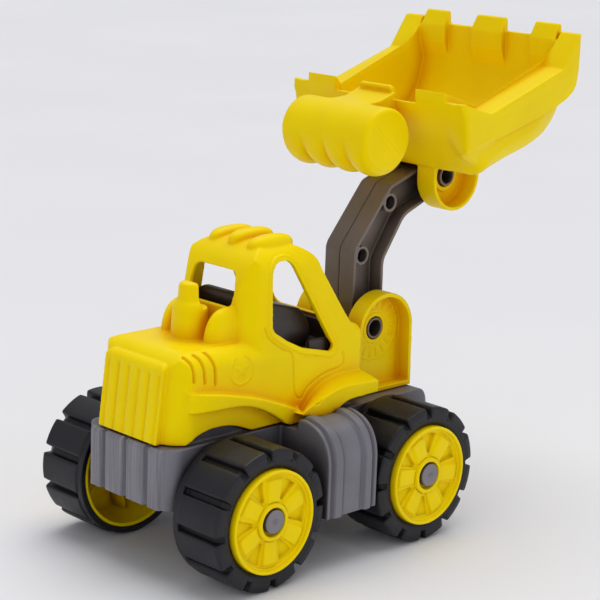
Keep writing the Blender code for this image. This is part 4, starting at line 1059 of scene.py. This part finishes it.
TOOTH = rounded(
    [
        (218.3, 238.0, 0), (218.3, 253.4, 1.6), (215.2, 253.4, 1.4), (211.7, 245.2, 1.5),
        (212.5, 236.0, 4.0), (216.2, 226.0, 0),
    ],
    9,
)
TEETH = [(0.0, 10.8), (38.0, 8.5), (-38.0, 8.5)]  # (middle y, half width)
TAB = rounded(
    [
        (129.8, 214.6, 0), (126.2, 223.4, 1.2), (129.0, 223.6, 1.5), (133.4, 217.2, 3.0),
        (133.6, 214.0, 1.0),
    ],
    9,
)
TABS = [(0.0, 11.0), (36.6, 8.0), (-36.6, 8.0)]
EAR = arc(*BUCKET_PIVOT, 17.6, 180.0, 360.0, 64) + [(185.1, 194.0), (149.9, 186.0)]
EAR_RECESS = arc(*BUCKET_PIVOT, 15.6, 180.0, 360.0, 56) + [(183.1, 190.3), (151.9, 180.9)]
EAR_TRIM = [
    (120.0, 172.4), (150.0, 181.8), (156.2, 183.6), (170.7, 188.2), (187.7, 192.8),
    (230.0, 206.0), (230.0, 230.0), (120.0, 230.0),
]
NECK = rounded(
    [
        (106.0, 206.0, 0), (107.4, 215.9, 0), (118.0, 216.4, 9.0), (128.6, 220.2, 0),
        (129.6, 212.0, 0), (131.0, 206.0, 0), (118.0, 202.0, 0),
    ]
)
HANDLE = (106.2, 199.2)
HANDLE_RADIUS, HANDLE_HALF = 16.6, 29.8
HANDLE_LOBES = 4


def drawn_in(depth):
    """The end line moved into the bowl, further at the front and less at the back."""
    line = [Vector(q) for q in END_LINE]
    out = []
    for i, here in enumerate(line):
        into = here - line[i - 1] if i > 0 else line[1] - here
        away = line[i + 1] - here if i < len(line) - 1 else into
        into, away = into.normalized(), away.normalized()
        move = Vector((into.y, -into.x)) + Vector((away.y, -away.x))
        share = 1.0 + 0.9 * min(1.0, max(0.0, (here.x - 190.0) / 18.0))
        share -= 0.55 * min(1.0, max(0.0, (162.0 - here.x) / 16.0))
        out.append(here + move * (share * depth / max(0.5, 1.0 + into.dot(away))))
    return out


def add_bowl_ends(bucket):
    for side in SIDES:
        rows = [[(q.x, side * y, q.y) for q in drawn_in(depth)] for y, depth in END_STATIONS]
        end = triangulated(loft(rows))
        common(end, prism(END_LIMIT, *span(side, 40.0, 70.0)))
        union(bucket, end)


def add_rear_corners(bucket):
    """The back wall swells out to the corners of the skirts."""
    halfway = [(0.5 * (p[0] + q[0]), 0.5 * (p[1] + q[1])) for p, q in zip(WALL, WALL_SWEPT)]
    stations = [  # (distance from the middle, outline)
        (30.0, [(x + 1.4, z) for x, z in WALL]), (37.0, [(x + 0.5, z) for x, z in WALL]),
        (43.0, WALL), (48.5, halfway), (54.0, WALL_SWEPT), (57.4, WALL_TUCKED), (59.9, WALL_DRAWN),
    ]
    for side in SIDES:
        rows = [[(x, side * y, z) for x, z in line] for y, line in stations]
        union(bucket, triangulated(loft(rows)))


def bowl_cavity():
    line = [Vector(q) for q in BOWL_LINE]
    inner = []
    for i, here in enumerate(line):
        along = (line[min(i + 1, len(line) - 1)] - line[max(i - 1, 0)]).normalized()
        inner.append(tuple(here + Vector((along.y, -along.x)) * 2.4))
    # one clean corner at the bottom, where the offset line would cross itself
    last = max(i for i, q in enumerate(inner) if q[0] > 152.9 and q[1] < 190)
    back = [q for q in inner[last + 1 :] if q[1] > 185.5]
    inner = [(215.9, 262.0)] + inner[: last + 1] + [(150.6, 183.4)] + back
    cavity = prism(inner + [(124.0, 240.0), (124.0, 262.0)], -BOWL_HALF - 5, BOWL_HALF + 5)
    half = BOWL_HALF - 0.3
    plan = [(60.0, -half, 0), (218.5, -half, 4.0), (218.5, half, 4.0), (60.0, half, 0)]
    return common(cavity, prism(rounded(plan, 15), 150.0, 280.0, "z"))


def add_teeth(bucket):
    for middle, half in TEETH:
        tooth = prism(TOOTH, middle - half, middle + half)
        # narrower towards the tip, wider towards the root
        for point in tooth.data.vertices:
            tip = max(0.0, (point.co.z - 245.0) / 8.4)
            root = max(0.0, (236.0 - point.co.z) / 10.0)
            point.co.y = middle + (point.co.y - middle) * (1.0 - 0.13 * tip + 0.10 * root)
        triangulated(tooth)
        left, right = middle + half + 1, middle - half - 1
        face = [(right, 225.0, 0), (right, 253.5, 3.0), (left, 253.5, 3.0), (left, 225.0, 0)]
        common(tooth, prism(rounded(face, 9), 200.0, 225.0, "x"))
        union(bucket, tooth)


def add_tabs(bucket):
    """Upright tabs along the top of the back wall."""
    for middle, half in TABS:
        left, right = middle + half, middle - half
        tab = prism(TAB, right, left)
        face = [(right, 200.0, 0), (right, 223.7, 2.6), (left, 223.7, 2.6), (left, 200.0, 0)]
        common(tab, prism(rounded(face, 9), 110.0, 150.0, "x"))
        union(bucket, tab)


def add_ears(bucket):
    """Pivot ears under the bowl."""
    for side in SIDES:
        ear = prism(EAR, *span(side, CHEEK_IN, CHEEK_OUT))
        cut(ear, prism(EAR_RECESS, *span(side, CHEEK_IN + 2.6, CHEEK_OUT + 3.0)))
        union(ear, rod(*BUCKET_PIVOT, 8.6, *span(side, CHEEK_IN + 1.0, CHEEK_IN + 4.2), 112))
        cut(ear, rod(*BUCKET_PIVOT, PIVOT_HOLE, *span(side, 5.0, 30.0), 112))
        cut(ear, prism(EAR_TRIM, *span(side, 5.0, 30.0)))
        union(bucket, ear)


def make_handle():
    """Roller along Y with finger lobes on its underside."""
    rows_count, steps = 121, 120
    lobe = 2 * HANDLE_HALF / HANDLE_LOBES
    rows = []
    for j in range(rows_count):
        y = -HANDLE_HALF + 2 * HANDLE_HALF * j / (rows_count - 1)
        part = ((y + HANDLE_HALF) / lobe) % 1.0
        dip = 1.0 - math.sqrt(max(0.0, 1.0 - (2.0 * part - 1.0) ** 2))
        if j in (0, rows_count - 1):
            dip = 0.25
        past = max(0.0, abs(y) - (HANDLE_HALF - 2.4)) / 2.4
        end = 1.0 - math.sqrt(max(0.0, 1.0 - past * past))
        row = []
        for i in range(steps):
            a = 2 * math.pi * i / steps
            under = max(0.0, -math.sin(a + 0.1)) ** 0.8
            radius = HANDLE_RADIUS + (1.7 - 5.0 * min(0.8, dip)) * under - 1.9 * end
            row.append((HANDLE[0] + radius * math.cos(a), y, HANDLE[1] + radius * math.sin(a)))
        rows.append(row)
    return loft(rows)


def shape_skirts(bucket):
    """Draws the skirts in towards their lower edge."""
    points = read_points(bucket.data)
    x, y, z = points.T
    foot = 194.8 + 0.279 * (x - 138.4)
    fall = np.clip(1.0 - (z - foot) / 15.0, 0, 1)
    points[:, 1] -= np.sign(y) * 1.5 * fall * ramp(np.abs(y), 57.0, 59.0)
    write_points(bucket.data, points)


def bucket_relief(points, normals):
    x, y, z = points.T
    away = np.abs(y)
    height = np.zeros(len(points))
    # faint upright ridges on the skirts
    near = (normals[:, 1] * np.sign(y) > 0.8) & (away > 58.0)
    for ridge_x in (147.6, 160.0, 176.0, 192.0):
        height[near] += 0.05 * bell(x[near] - ridge_x, width=0.6)
    # faint diagonal ridge on the handle's ends
    u, v = x - HANDLE[0], z - HANDLE[1]
    radius = np.hypot(u, v)
    near = (away > 28.0) & (radius < 17.5)
    diagonal = u[near] * 0.66 + v[near] * 0.75
    height[near] += 0.16 * bell(diagonal, width=0.5) * (radius[near] < 11.0)
    return height


def make_bucket():
    bucket = prism(BOWL_LINE + BOWL_TOP, -BOWL_HALF, BOWL_HALF)
    add_bowl_ends(bucket)
    both_sides(
        union,
        bucket,
        (TOP_BAND, BOWL_HALF, BUCKET_HALF - 0.1),
        (SKIRT, BUCKET_HALF - 3.4, BUCKET_HALF),
        (FRONT_LIP, BOWL_HALF - 1.2, BUCKET_HALF - 0.3),
        (REAR_STRIP, 55.5, BUCKET_HALF - 0.3),
    )
    add_rear_corners(bucket)
    common(bucket, prism(rounded(BUCKET_PLAN, 18), 150.0, 280.0, "z"))
    cut(bucket, bowl_cavity())
    add_teeth(bucket)
    cut(bucket, box(118.0, 134.0, -28.0, 28.0, 216.6, 230.0))
    add_tabs(bucket)
    add_ears(bucket)
    union(bucket, prism(NECK, -12.6, 12.6))
    join(bucket, make_handle())
    moulded(bucket, 0.42, 5)
    shape_skirts(bucket)
    # rear corners, then the lower parts of the ends, then the neck
    soften(bucket, lambda x, y, z: (x < 156.0) & (y > 34.0) & (z < 213.5), 90)
    soften(
        bucket, lambda x, y, z: (y > 50.0) & (z < 211.0 + 0.3 * np.maximum(0.0, x - 190.0)), 10
    )
    soften(bucket, lambda x, y, z: (x < 135.0) & (y < 16.0) & (x > 112.0), 12)
    return relief(bucket, bucket_relief)


# ---------------------------------------------------------------- screws
SCREW_PROFILE = [  # (z, radius)
    (57.8, 0.02), (57.8, 2.6), (58.2, 3.0), (59.6, 3.0), (59.9, 2.8), (59.9, 1.3), (75.0, 1.3),
    (75.4, 0.02),
]


def upright_screw(x, y):
    """Head down, with a cross slot."""
    screw = turned(SCREW_PROFILE, x, y, 72)
    for a, b in ((1.7, 0.35), (0.35, 1.7)):
        cut(screw, box(x - a, x + a, y - b, y + b, 57.0, 58.8))
    return screw


def cross_screw(x, z):
    """Along Y, head to the right, with a turned cross slot."""
    screw = rod(x, z, 2.9, -5.6, -3.6, 64)
    union(screw, rod(x, z, 1.2, -4.5, 6.8, 48))
    for a, b in ((1.7, 0.38), (0.38, 1.7)):
        slot = [(x + u * 0.8 - v * 0.6, z + u * 0.6 + v * 0.8) for u, v in rect(-a, a, -b, b)]
        cut(screw, prism(slot, -7.0, -4.6))
    return screw


# ---------------------------------------------------------------- materials
class Shader:
    def __init__(self, name):
        self.material = bpy.data.materials.new(name)
        self.material.use_nodes = True
        self.tree = self.material.node_tree
        self.bsdf = self.tree.nodes["Principled BSDF"]
        self.coord = self.add("ShaderNodeTexCoord").outputs["Object"]

    def add(self, kind, **settings):
        node = self.tree.nodes.new(kind)
        for key, value in settings.items():
            setattr(node, key, value)
        return node

    def put(self, socket, value):
        if isinstance(value, bpy.types.NodeSocket):
            self.tree.links.new(value, socket)
        else:
            socket.default_value = value

    def noise(self, scale, detail, rough, turn=(0.0, 0.0, 0.0), distort=0.0):
        """Noise over the object; scale is one number or one per axis."""
        mapping = self.add("ShaderNodeMapping")
        self.put(mapping.inputs["Vector"], self.coord)
        mapping.inputs["Scale"].default_value = scale if isinstance(scale, tuple) else (scale,) * 3
        mapping.inputs["Rotation"].default_value = turn
        node = self.add("ShaderNodeTexNoise")
        self.put(node.inputs["Vector"], mapping.outputs["Vector"])
        node.inputs["Scale"].default_value = 1.0
        node.inputs["Detail"].default_value = detail
        node.inputs["Roughness"].default_value = rough
        node.inputs["Distortion"].default_value = distort
        return node.outputs["Fac"]

    def math(self, operation, a, b=0.0):
        node = self.add("ShaderNodeMath", operation=operation)
        self.put(node.inputs[0], a)
        self.put(node.inputs[1], b)
        return node.outputs[0]

    def mix(self, factor, a, b):
        node = self.add("ShaderNodeMix", data_type="RGBA")
        self.put(node.inputs[0], factor)
        for i, color in ((6, a), (7, b)):
            self.put(node.inputs[i], (*color, 1.0) if isinstance(color, tuple) else color)
        return node.outputs[2]

    def remap(self, value, span, to=(0.0, 1.0)):
        node = self.add("ShaderNodeMapRange")
        self.put(node.inputs["Value"], value)
        node.inputs["From Min"].default_value, node.inputs["From Max"].default_value = span
        node.inputs["To Min"].default_value, node.inputs["To Max"].default_value = to
        return node.outputs["Result"]

    def bump(self, height, strength, distance, below=None):
        node = self.add("ShaderNodeBump")
        node.inputs["Strength"].default_value = strength
        node.inputs["Distance"].default_value = distance
        self.put(node.inputs["Height"], height)
        if below is not None:
            self.put(node.inputs["Normal"], below)
        return node.outputs["Normal"]

    def openness(self, distance):
        """0 in tight corners, 1 out in the open."""
        node = self.add("ShaderNodeAmbientOcclusion")
        node.samples = 6
        node.inputs["Distance"].default_value = distance
        return node.outputs["AO"]

    def finish(self, color, rough, normal, metal=0.0, coat=0.0, specular=0.5):
        inputs = self.bsdf.inputs
        self.put(inputs["Base Color"], color)
        self.put(inputs["Roughness"], rough)
        self.put(inputs["Normal"], normal)
        inputs["Metallic"].default_value = metal
        inputs["Coat Weight"].default_value = coat
        inputs["Coat Roughness"].default_value = 0.25
        inputs["Specular IOR Level"].default_value = specular
        return self.material


def moulded_plastic(name, light, dark, corner_shade, reach, rough, grain=1.0):
    """Cloudy colour, flow marks, fine grain, scratches, and painted shade in tight corners.

    Returns the shader, base colour, roughness and normal.
    """
    shader = Shader(name)
    cloud = shader.noise(38, detail=3.0, rough=0.5)
    flow = shader.noise((30, 30, 170), detail=2.0, rough=0.5, turn=(0.3, 0.2, 0.0), distort=0.6)
    base = shader.mix(shader.remap(cloud, span=(0.35, 0.65)), dark, light)
    flow_share = 0.18
    streaks = shader.math("MULTIPLY", shader.remap(flow, span=(0.4, 0.7)), flow_share)
    base = shader.mix(streaks, base, dark)
    # painted shade: the corner colour is mixed in where ambient occlusion finds tight corners and
    # recesses
    corners = shader.remap(shader.openness(reach), span=(0.35, 0.95), to=(1.0, 0.0))
    base = shader.mix(corners, base, corner_shade)
    fine_grain = shader.noise(1800, detail=2.0, rough=0.6)
    pits = shader.noise(520, detail=4.0, rough=0.65)
    scratches = shader.noise((1500, 60, 900), detail=3.0, rough=0.6, turn=(0.4, 0.9, 0.3))
    marks = shader.remap(scratches, span=(0.60, 0.72))
    patches = shader.noise(90, detail=5.0, rough=0.6)
    roughness = shader.remap(patches, span=(0.3, 0.7), to=(rough - 0.06, rough + 0.09))
    marks_share = 0.05
    roughness = shader.math("ADD", roughness, shader.math("MULTIPLY", marks, marks_share))
    normal = shader.bump(fine_grain, strength=0.10 * grain, distance=0.00006)
    normal = shader.bump(pits, strength=0.16 * grain, distance=0.00012, below=normal)
    normal = shader.bump(cloud, strength=0.12, distance=0.0006, below=normal)
    normal = shader.bump(marks, strength=0.05, distance=0.00004, below=normal)
    return shader, base, roughness, normal


def yellow_plastic(name, corner_shade, reach):
    shader, *surface = moulded_plastic(
        # the corner colour passed through here is painted shade
        name, light=(0.98, 0.745, 0.0), dark=(0.95, 0.7, 0.0), corner_shade=corner_shade, reach=reach, rough=0.44
    )
    inputs = shader.bsdf.inputs
    inputs["Specular Tint"].default_value = (1.0, 0.80, 0.12, 1.0)
    inputs["Subsurface Weight"].default_value = 0.15
    inputs["Subsurface Radius"].default_value = (1.0, 0.42, 0.02)
    inputs["Subsurface Scale"].default_value = 0.0022
    return shader.finish(*surface, specular=0.3)


def chassis_plastic():
    shader, base, rough, normal = moulded_plastic(
        "grey_plastic", light=(0.185, 0.182, 0.215), dark=(0.152, 0.148, 0.172),
        # painted shade colour for tight corners
        corner_shade=(0.030, 0.026, 0.030), reach=0.014, rough=0.40,
    )
    split = shader.add("ShaderNodeSeparateXYZ")
    shader.put(split.inputs[0], shader.coord)
    x, y = split.outputs[0], split.outputs[1]
    # fine upright drag lines on the rear bumper
    lines = shader.noise((0.0, 1500, 22), detail=3.0, rough=0.7)
    broad = shader.noise((0.0, 420, 8), detail=2.0, rough=0.5)
    bumper = shader.remap(x, span=(-0.1240, -0.1262))
    lit = shader.remap(lines, span=(0.36, 0.66))
    line_share = 0.6
    line_color = shader.mix(lit, (0.105, 0.100, 0.118), (0.30, 0.295, 0.335))
    base = shader.mix(shader.math("MULTIPLY", bumper, line_share), base, line_color)
    broad = shader.remap(broad, span=(0.45, 0.7), to=(0.0, 0.4))
    base = shader.mix(shader.math("MULTIPLY", bumper, broad), base, (0.28, 0.25, 0.27))
    drag_height = shader.math("MULTIPLY", lines, bumper)
    normal = shader.bump(drag_height, strength=0.25, distance=0.00012, below=normal)
    # fainter drag lines down the outer panels of the tanks
    drag = shader.noise((900, 0.0, 18), detail=3.0, rough=0.65)
    outer = shader.remap(shader.math("ABSOLUTE", y), span=(0.0600, 0.0630))
    drag = shader.remap(drag, span=(0.55, 0.75), to=(0.0, 0.16))
    base = shader.mix(shader.math("MULTIPLY", outer, drag), base, (0.30, 0.30, 0.34))
    return shader.finish(base, rough, normal)


def arm_plastic():
    shader, *surface = moulded_plastic(
        "arm_plastic", light=(0.180, 0.142, 0.124), dark=(0.145, 0.114, 0.100),
        # painted shade colour for tight corners
        corner_shade=(0.028, 0.022, 0.018), reach=0.010, rough=0.38,
    )
    return shader.finish(*surface, coat=0.08)


def seat_plastic():
    shader, *surface = moulded_plastic(
        "seat_plastic", light=(0.034, 0.022, 0.017), dark=(0.023, 0.014, 0.010),
        # painted shade colour for tight corners
        corner_shade=(0.010, 0.006, 0.004), reach=0.010, rough=0.34,
    )
    return shader.finish(*surface)


def cap_plastic():
    shader, *surface = moulded_plastic(
        "cap_plastic", light=(0.22, 0.205, 0.225), dark=(0.18, 0.165, 0.185),
        # painted shade colour for tight corners
        corner_shade=(0.045, 0.040, 0.045), reach=0.003, rough=0.38,
    )
    return shader.finish(*surface)


def tyre_rubber():
    shader, base, rough, normal = moulded_plastic(
        "black_tyre", light=(0.012, 0.012, 0.017), dark=(0.008, 0.008, 0.012),
        # painted shade colour for tight corners
        corner_shade=(0.0015, 0.0015, 0.002), reach=0.006, rough=0.44, grain=1.3,
    )
    dust = shader.noise(260, detail=6.0, rough=0.7)
    dust = shader.remap(dust, span=(0.60, 0.82), to=(0.0, 0.25))
    base = shader.mix(dust, base, (0.036, 0.033, 0.032))
    return shader.finish(base, rough, normal, specular=0.34)


def steel():
    shader = Shader("steel")
    lathe = shader.noise((2600, 120, 2600), detail=4.0, rough=0.6)
    stain = shader.noise(210, detail=5.0, rough=0.6)
    stain = shader.remap(stain, span=(0.4, 0.75))
    base = shader.mix(stain, (0.60, 0.60, 0.61), (0.46, 0.44, 0.42))
    rough = shader.remap(lathe, span=(0.3, 0.7), to=(0.22, 0.38))
    normal = shader.bump(lathe, strength=0.25, distance=0.00004)
    return shader.finish(base, rough, normal, metal=1.0)


def floor_paper():
    shader = Shader("floor_paper")
    fibre = shader.noise(900, detail=5.0, rough=0.7)
    cloud = shader.noise(3, detail=3.0, rough=0.5)
    cloud = shader.remap(cloud, span=(0.3, 0.7))
    base = shader.mix(cloud, (0.80, 0.80, 0.825), (0.83, 0.83, 0.85))
    rough = shader.remap(fibre, span=(0.3, 0.7), to=(0.62, 0.72))
    normal = shader.bump(fibre, strength=0.06, distance=0.00008)
    return shader.finish(base, rough, normal, specular=0.3)


MATERIALS = {
    # painted shade: orange in the corners of the yellow body, less orange and tighter on the rims
    "yellow_plastic": yellow_plastic("yellow_plastic", corner_shade=(0.80, 0.36, 0.0), reach=0.010),
    "rim_plastic": yellow_plastic("rim_plastic", corner_shade=(0.72, 0.50, 0.0), reach=0.004),
    "grey_plastic": chassis_plastic(),
    "arm_plastic": arm_plastic(),
    "seat_plastic": seat_plastic(),
    "cap_plastic": cap_plastic(),
    "black_tyre": tyre_rubber(),
    "steel": steel(),
}


# ---------------------------------------------------------------- the pieces, each on its body
def place(part, node, body, slot, material=None):
    """Puts a finished piece in the frame, in place of a node."""
    mesh = part.data
    points = read_points(mesh).astype(float)
    points[:, 0] -= ORIGIN_X
    shade_smooth(mesh)
    write_points(mesh, points * 0.001)
    mesh.materials.clear()
    mesh.materials.append(MATERIALS[material or slot])
    part.name = mesh.name = f"look_{node}"
    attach(part, body)
    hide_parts(node)


WHEELS = {  # (hand, side, angle of a tyre groove, angle of a rim blade)
    "rear": [("right", -1.0, -85.7, 88.0), ("left", 1.0, -75.0, 75.0)],
    "front": [("right", -1.0, -90.2, 55.0), ("left", 1.0, -75.0, 40.0)],
}
for end, hands in WHEELS.items():
    x = AXLE_X[end]
    axle = f"axle_{end}"
    for hand, side, groove_angle, blade_angle in hands:
        corner = f"{end}_{hand}"
        wheel = f"wheel_{corner}"
        place(make_tyre(x, side, groove_angle), f"tyre_{corner}", wheel, "black_tyre")
        rim = make_rim(x, side, blade_angle)
        place(rim, f"rim_{corner}", wheel, "yellow_plastic", "rim_plastic")
        place(make_cap(x, side), f"hub_cap_{corner}", axle, "cap_plastic")
    place(make_axle(x), axle, axle, "steel")
place(make_chassis(), "chassis", "frame", "grey_plastic")
place(make_body(), "upper_body", "frame", "yellow_plastic")
place(make_seat(), "cab_seat", "frame", "seat_plastic")
place(make_bracket(), "arm_bracket", "frame", "yellow_plastic")
place(make_arm(-1.0), "arm_half_right", "arm", "arm_plastic")
place(make_arm(1.0), "arm_half_left", "arm", "arm_plastic")
place(make_bucket(), "bucket", "bucket", "yellow_plastic")
for kind, body, make, spots in (
    ("body", "frame", upright_screw, BODY_SCREWS),
    ("bracket", "frame", upright_screw, BRACKET_SCREWS),
    ("arm", "arm", cross_screw, ARM_SCREWS),
):
    for number, spot in enumerate(spots, 1):
        place(make(*spot), f"{kind}_screw_{number}", body, "steel")

# ---------------------------------------------------------------- stage and light (metres)
VIEW_TURN = math.radians(-42.92)  # camera and backdrop, about Z
LIGHT_AIM = Vector((0.0, 0.0, 0.08))


def backdrop():
    """One sweep of pale paper: floor, curve and wall."""
    half_width, front, back, radius, top = 9.0, -5.0, 14.0, 2.0, 6.0
    drop = 0.00005  # keeps the paper just below the wheels
    line = [(front, 0.0), (back - radius, 0.0)]
    for degrees in range(6, 91, 6):
        a = math.radians(degrees)
        line.append((back - radius + radius * math.sin(a), radius - radius * math.cos(a)))
    line.append((back, top))
    verts = [(side * half_width, y, z - drop) for y, z in line for side in (-1.0, 1.0)]
    faces = [(2 * i, 2 * i + 1, 2 * i + 3, 2 * i + 2) for i in range(len(line) - 1)]
    mesh = bpy.data.meshes.new("stage_paper")
    mesh.from_pydata(verts, [], faces)
    paper = new_object(mesh, "stage_paper")
    shade_smooth(mesh)
    mesh.materials.append(floor_paper())
    paper.rotation_euler = (0.0, 0.0, VIEW_TURN)
    return paper


def softbox(name, location, width, height, power):
    light = bpy.data.lights.new(name, "AREA")
    light.shape = "RECTANGLE"
    light.size, light.size_y = width, height
    light.energy = power
    lamp = new_object(light, name)
    lamp.location = location
    lamp.rotation_euler = (LIGHT_AIM - Vector(location)).to_track_quat("-Z", "Y").to_euler()


def sky_panel(power, spread, toward):
    light = bpy.data.lights.new("sky_panel", "SUN")
    light.energy = power
    light.angle = math.radians(spread)
    lamp = new_object(light, "sky_panel")
    lamp.rotation_euler = Vector(toward).to_track_quat("Z", "Y").to_euler()


def studio_world(color, strength):
    world = bpy.data.worlds.new("studio")
    world.use_nodes = True
    background = world.node_tree.nodes["Background"].inputs
    background["Color"].default_value = color
    background["Strength"].default_value = strength
    bpy.context.scene.world = world


backdrop()
softbox("fill_left", location=(-1.15, -0.55, 0.45), width=0.7, height=0.9, power=1.6)
softbox("fill_front", location=(0.45, -1.35, 0.5), width=0.9, height=0.8, power=2.0)
sky_panel(power=1.6, spread=55.0, toward=(0.22, 0.10, 1.0))
studio_world(color=(0.97, 0.97, 1.0, 1.0), strength=0.47)
bpy.context.scene.view_settings.view_transform = "Standard"


# ---------------------------------------------------------------- camera
def add_camera(aim, distance, rise, roll, lens, shift):
    """Looks at aim (mm) from a distance (mm), raised and rolled by angles in degrees."""
    rise, roll = math.radians(rise), math.radians(roll)
    back = Vector(
        (
            math.sin(VIEW_TURN) * math.cos(rise), -math.cos(VIEW_TURN) * math.cos(rise),
            math.sin(rise),
        )
    )
    level = Vector((0.0, 0.0, 1.0)).cross(back).normalized()
    upright = back.cross(level)
    right = math.cos(roll) * level + math.sin(roll) * upright
    up = -math.sin(roll) * level + math.cos(roll) * upright
    spot = Vector(aim) + distance * back
    matrix = Matrix((right, up, back)).transposed().to_4x4()
    matrix.translation = ((spot.x - ORIGIN_X) / 1000, spot.y / 1000, spot.z / 1000)
    data = bpy.data.cameras.new("camera")
    camera = new_object(data, "camera")
    camera.matrix_world = matrix
    data.sensor_width = 36.0
    data.lens = lens
    data.shift_x, data.shift_y = shift
    data.clip_start = 0.01
    bpy.context.scene.camera = camera


add_camera(
    aim=(32.33, 0.0, 123.4), distance=948.27, rise=13.93, roll=1.59, lens=116.1852,
    shift=(0.1117, 0.00035),
)
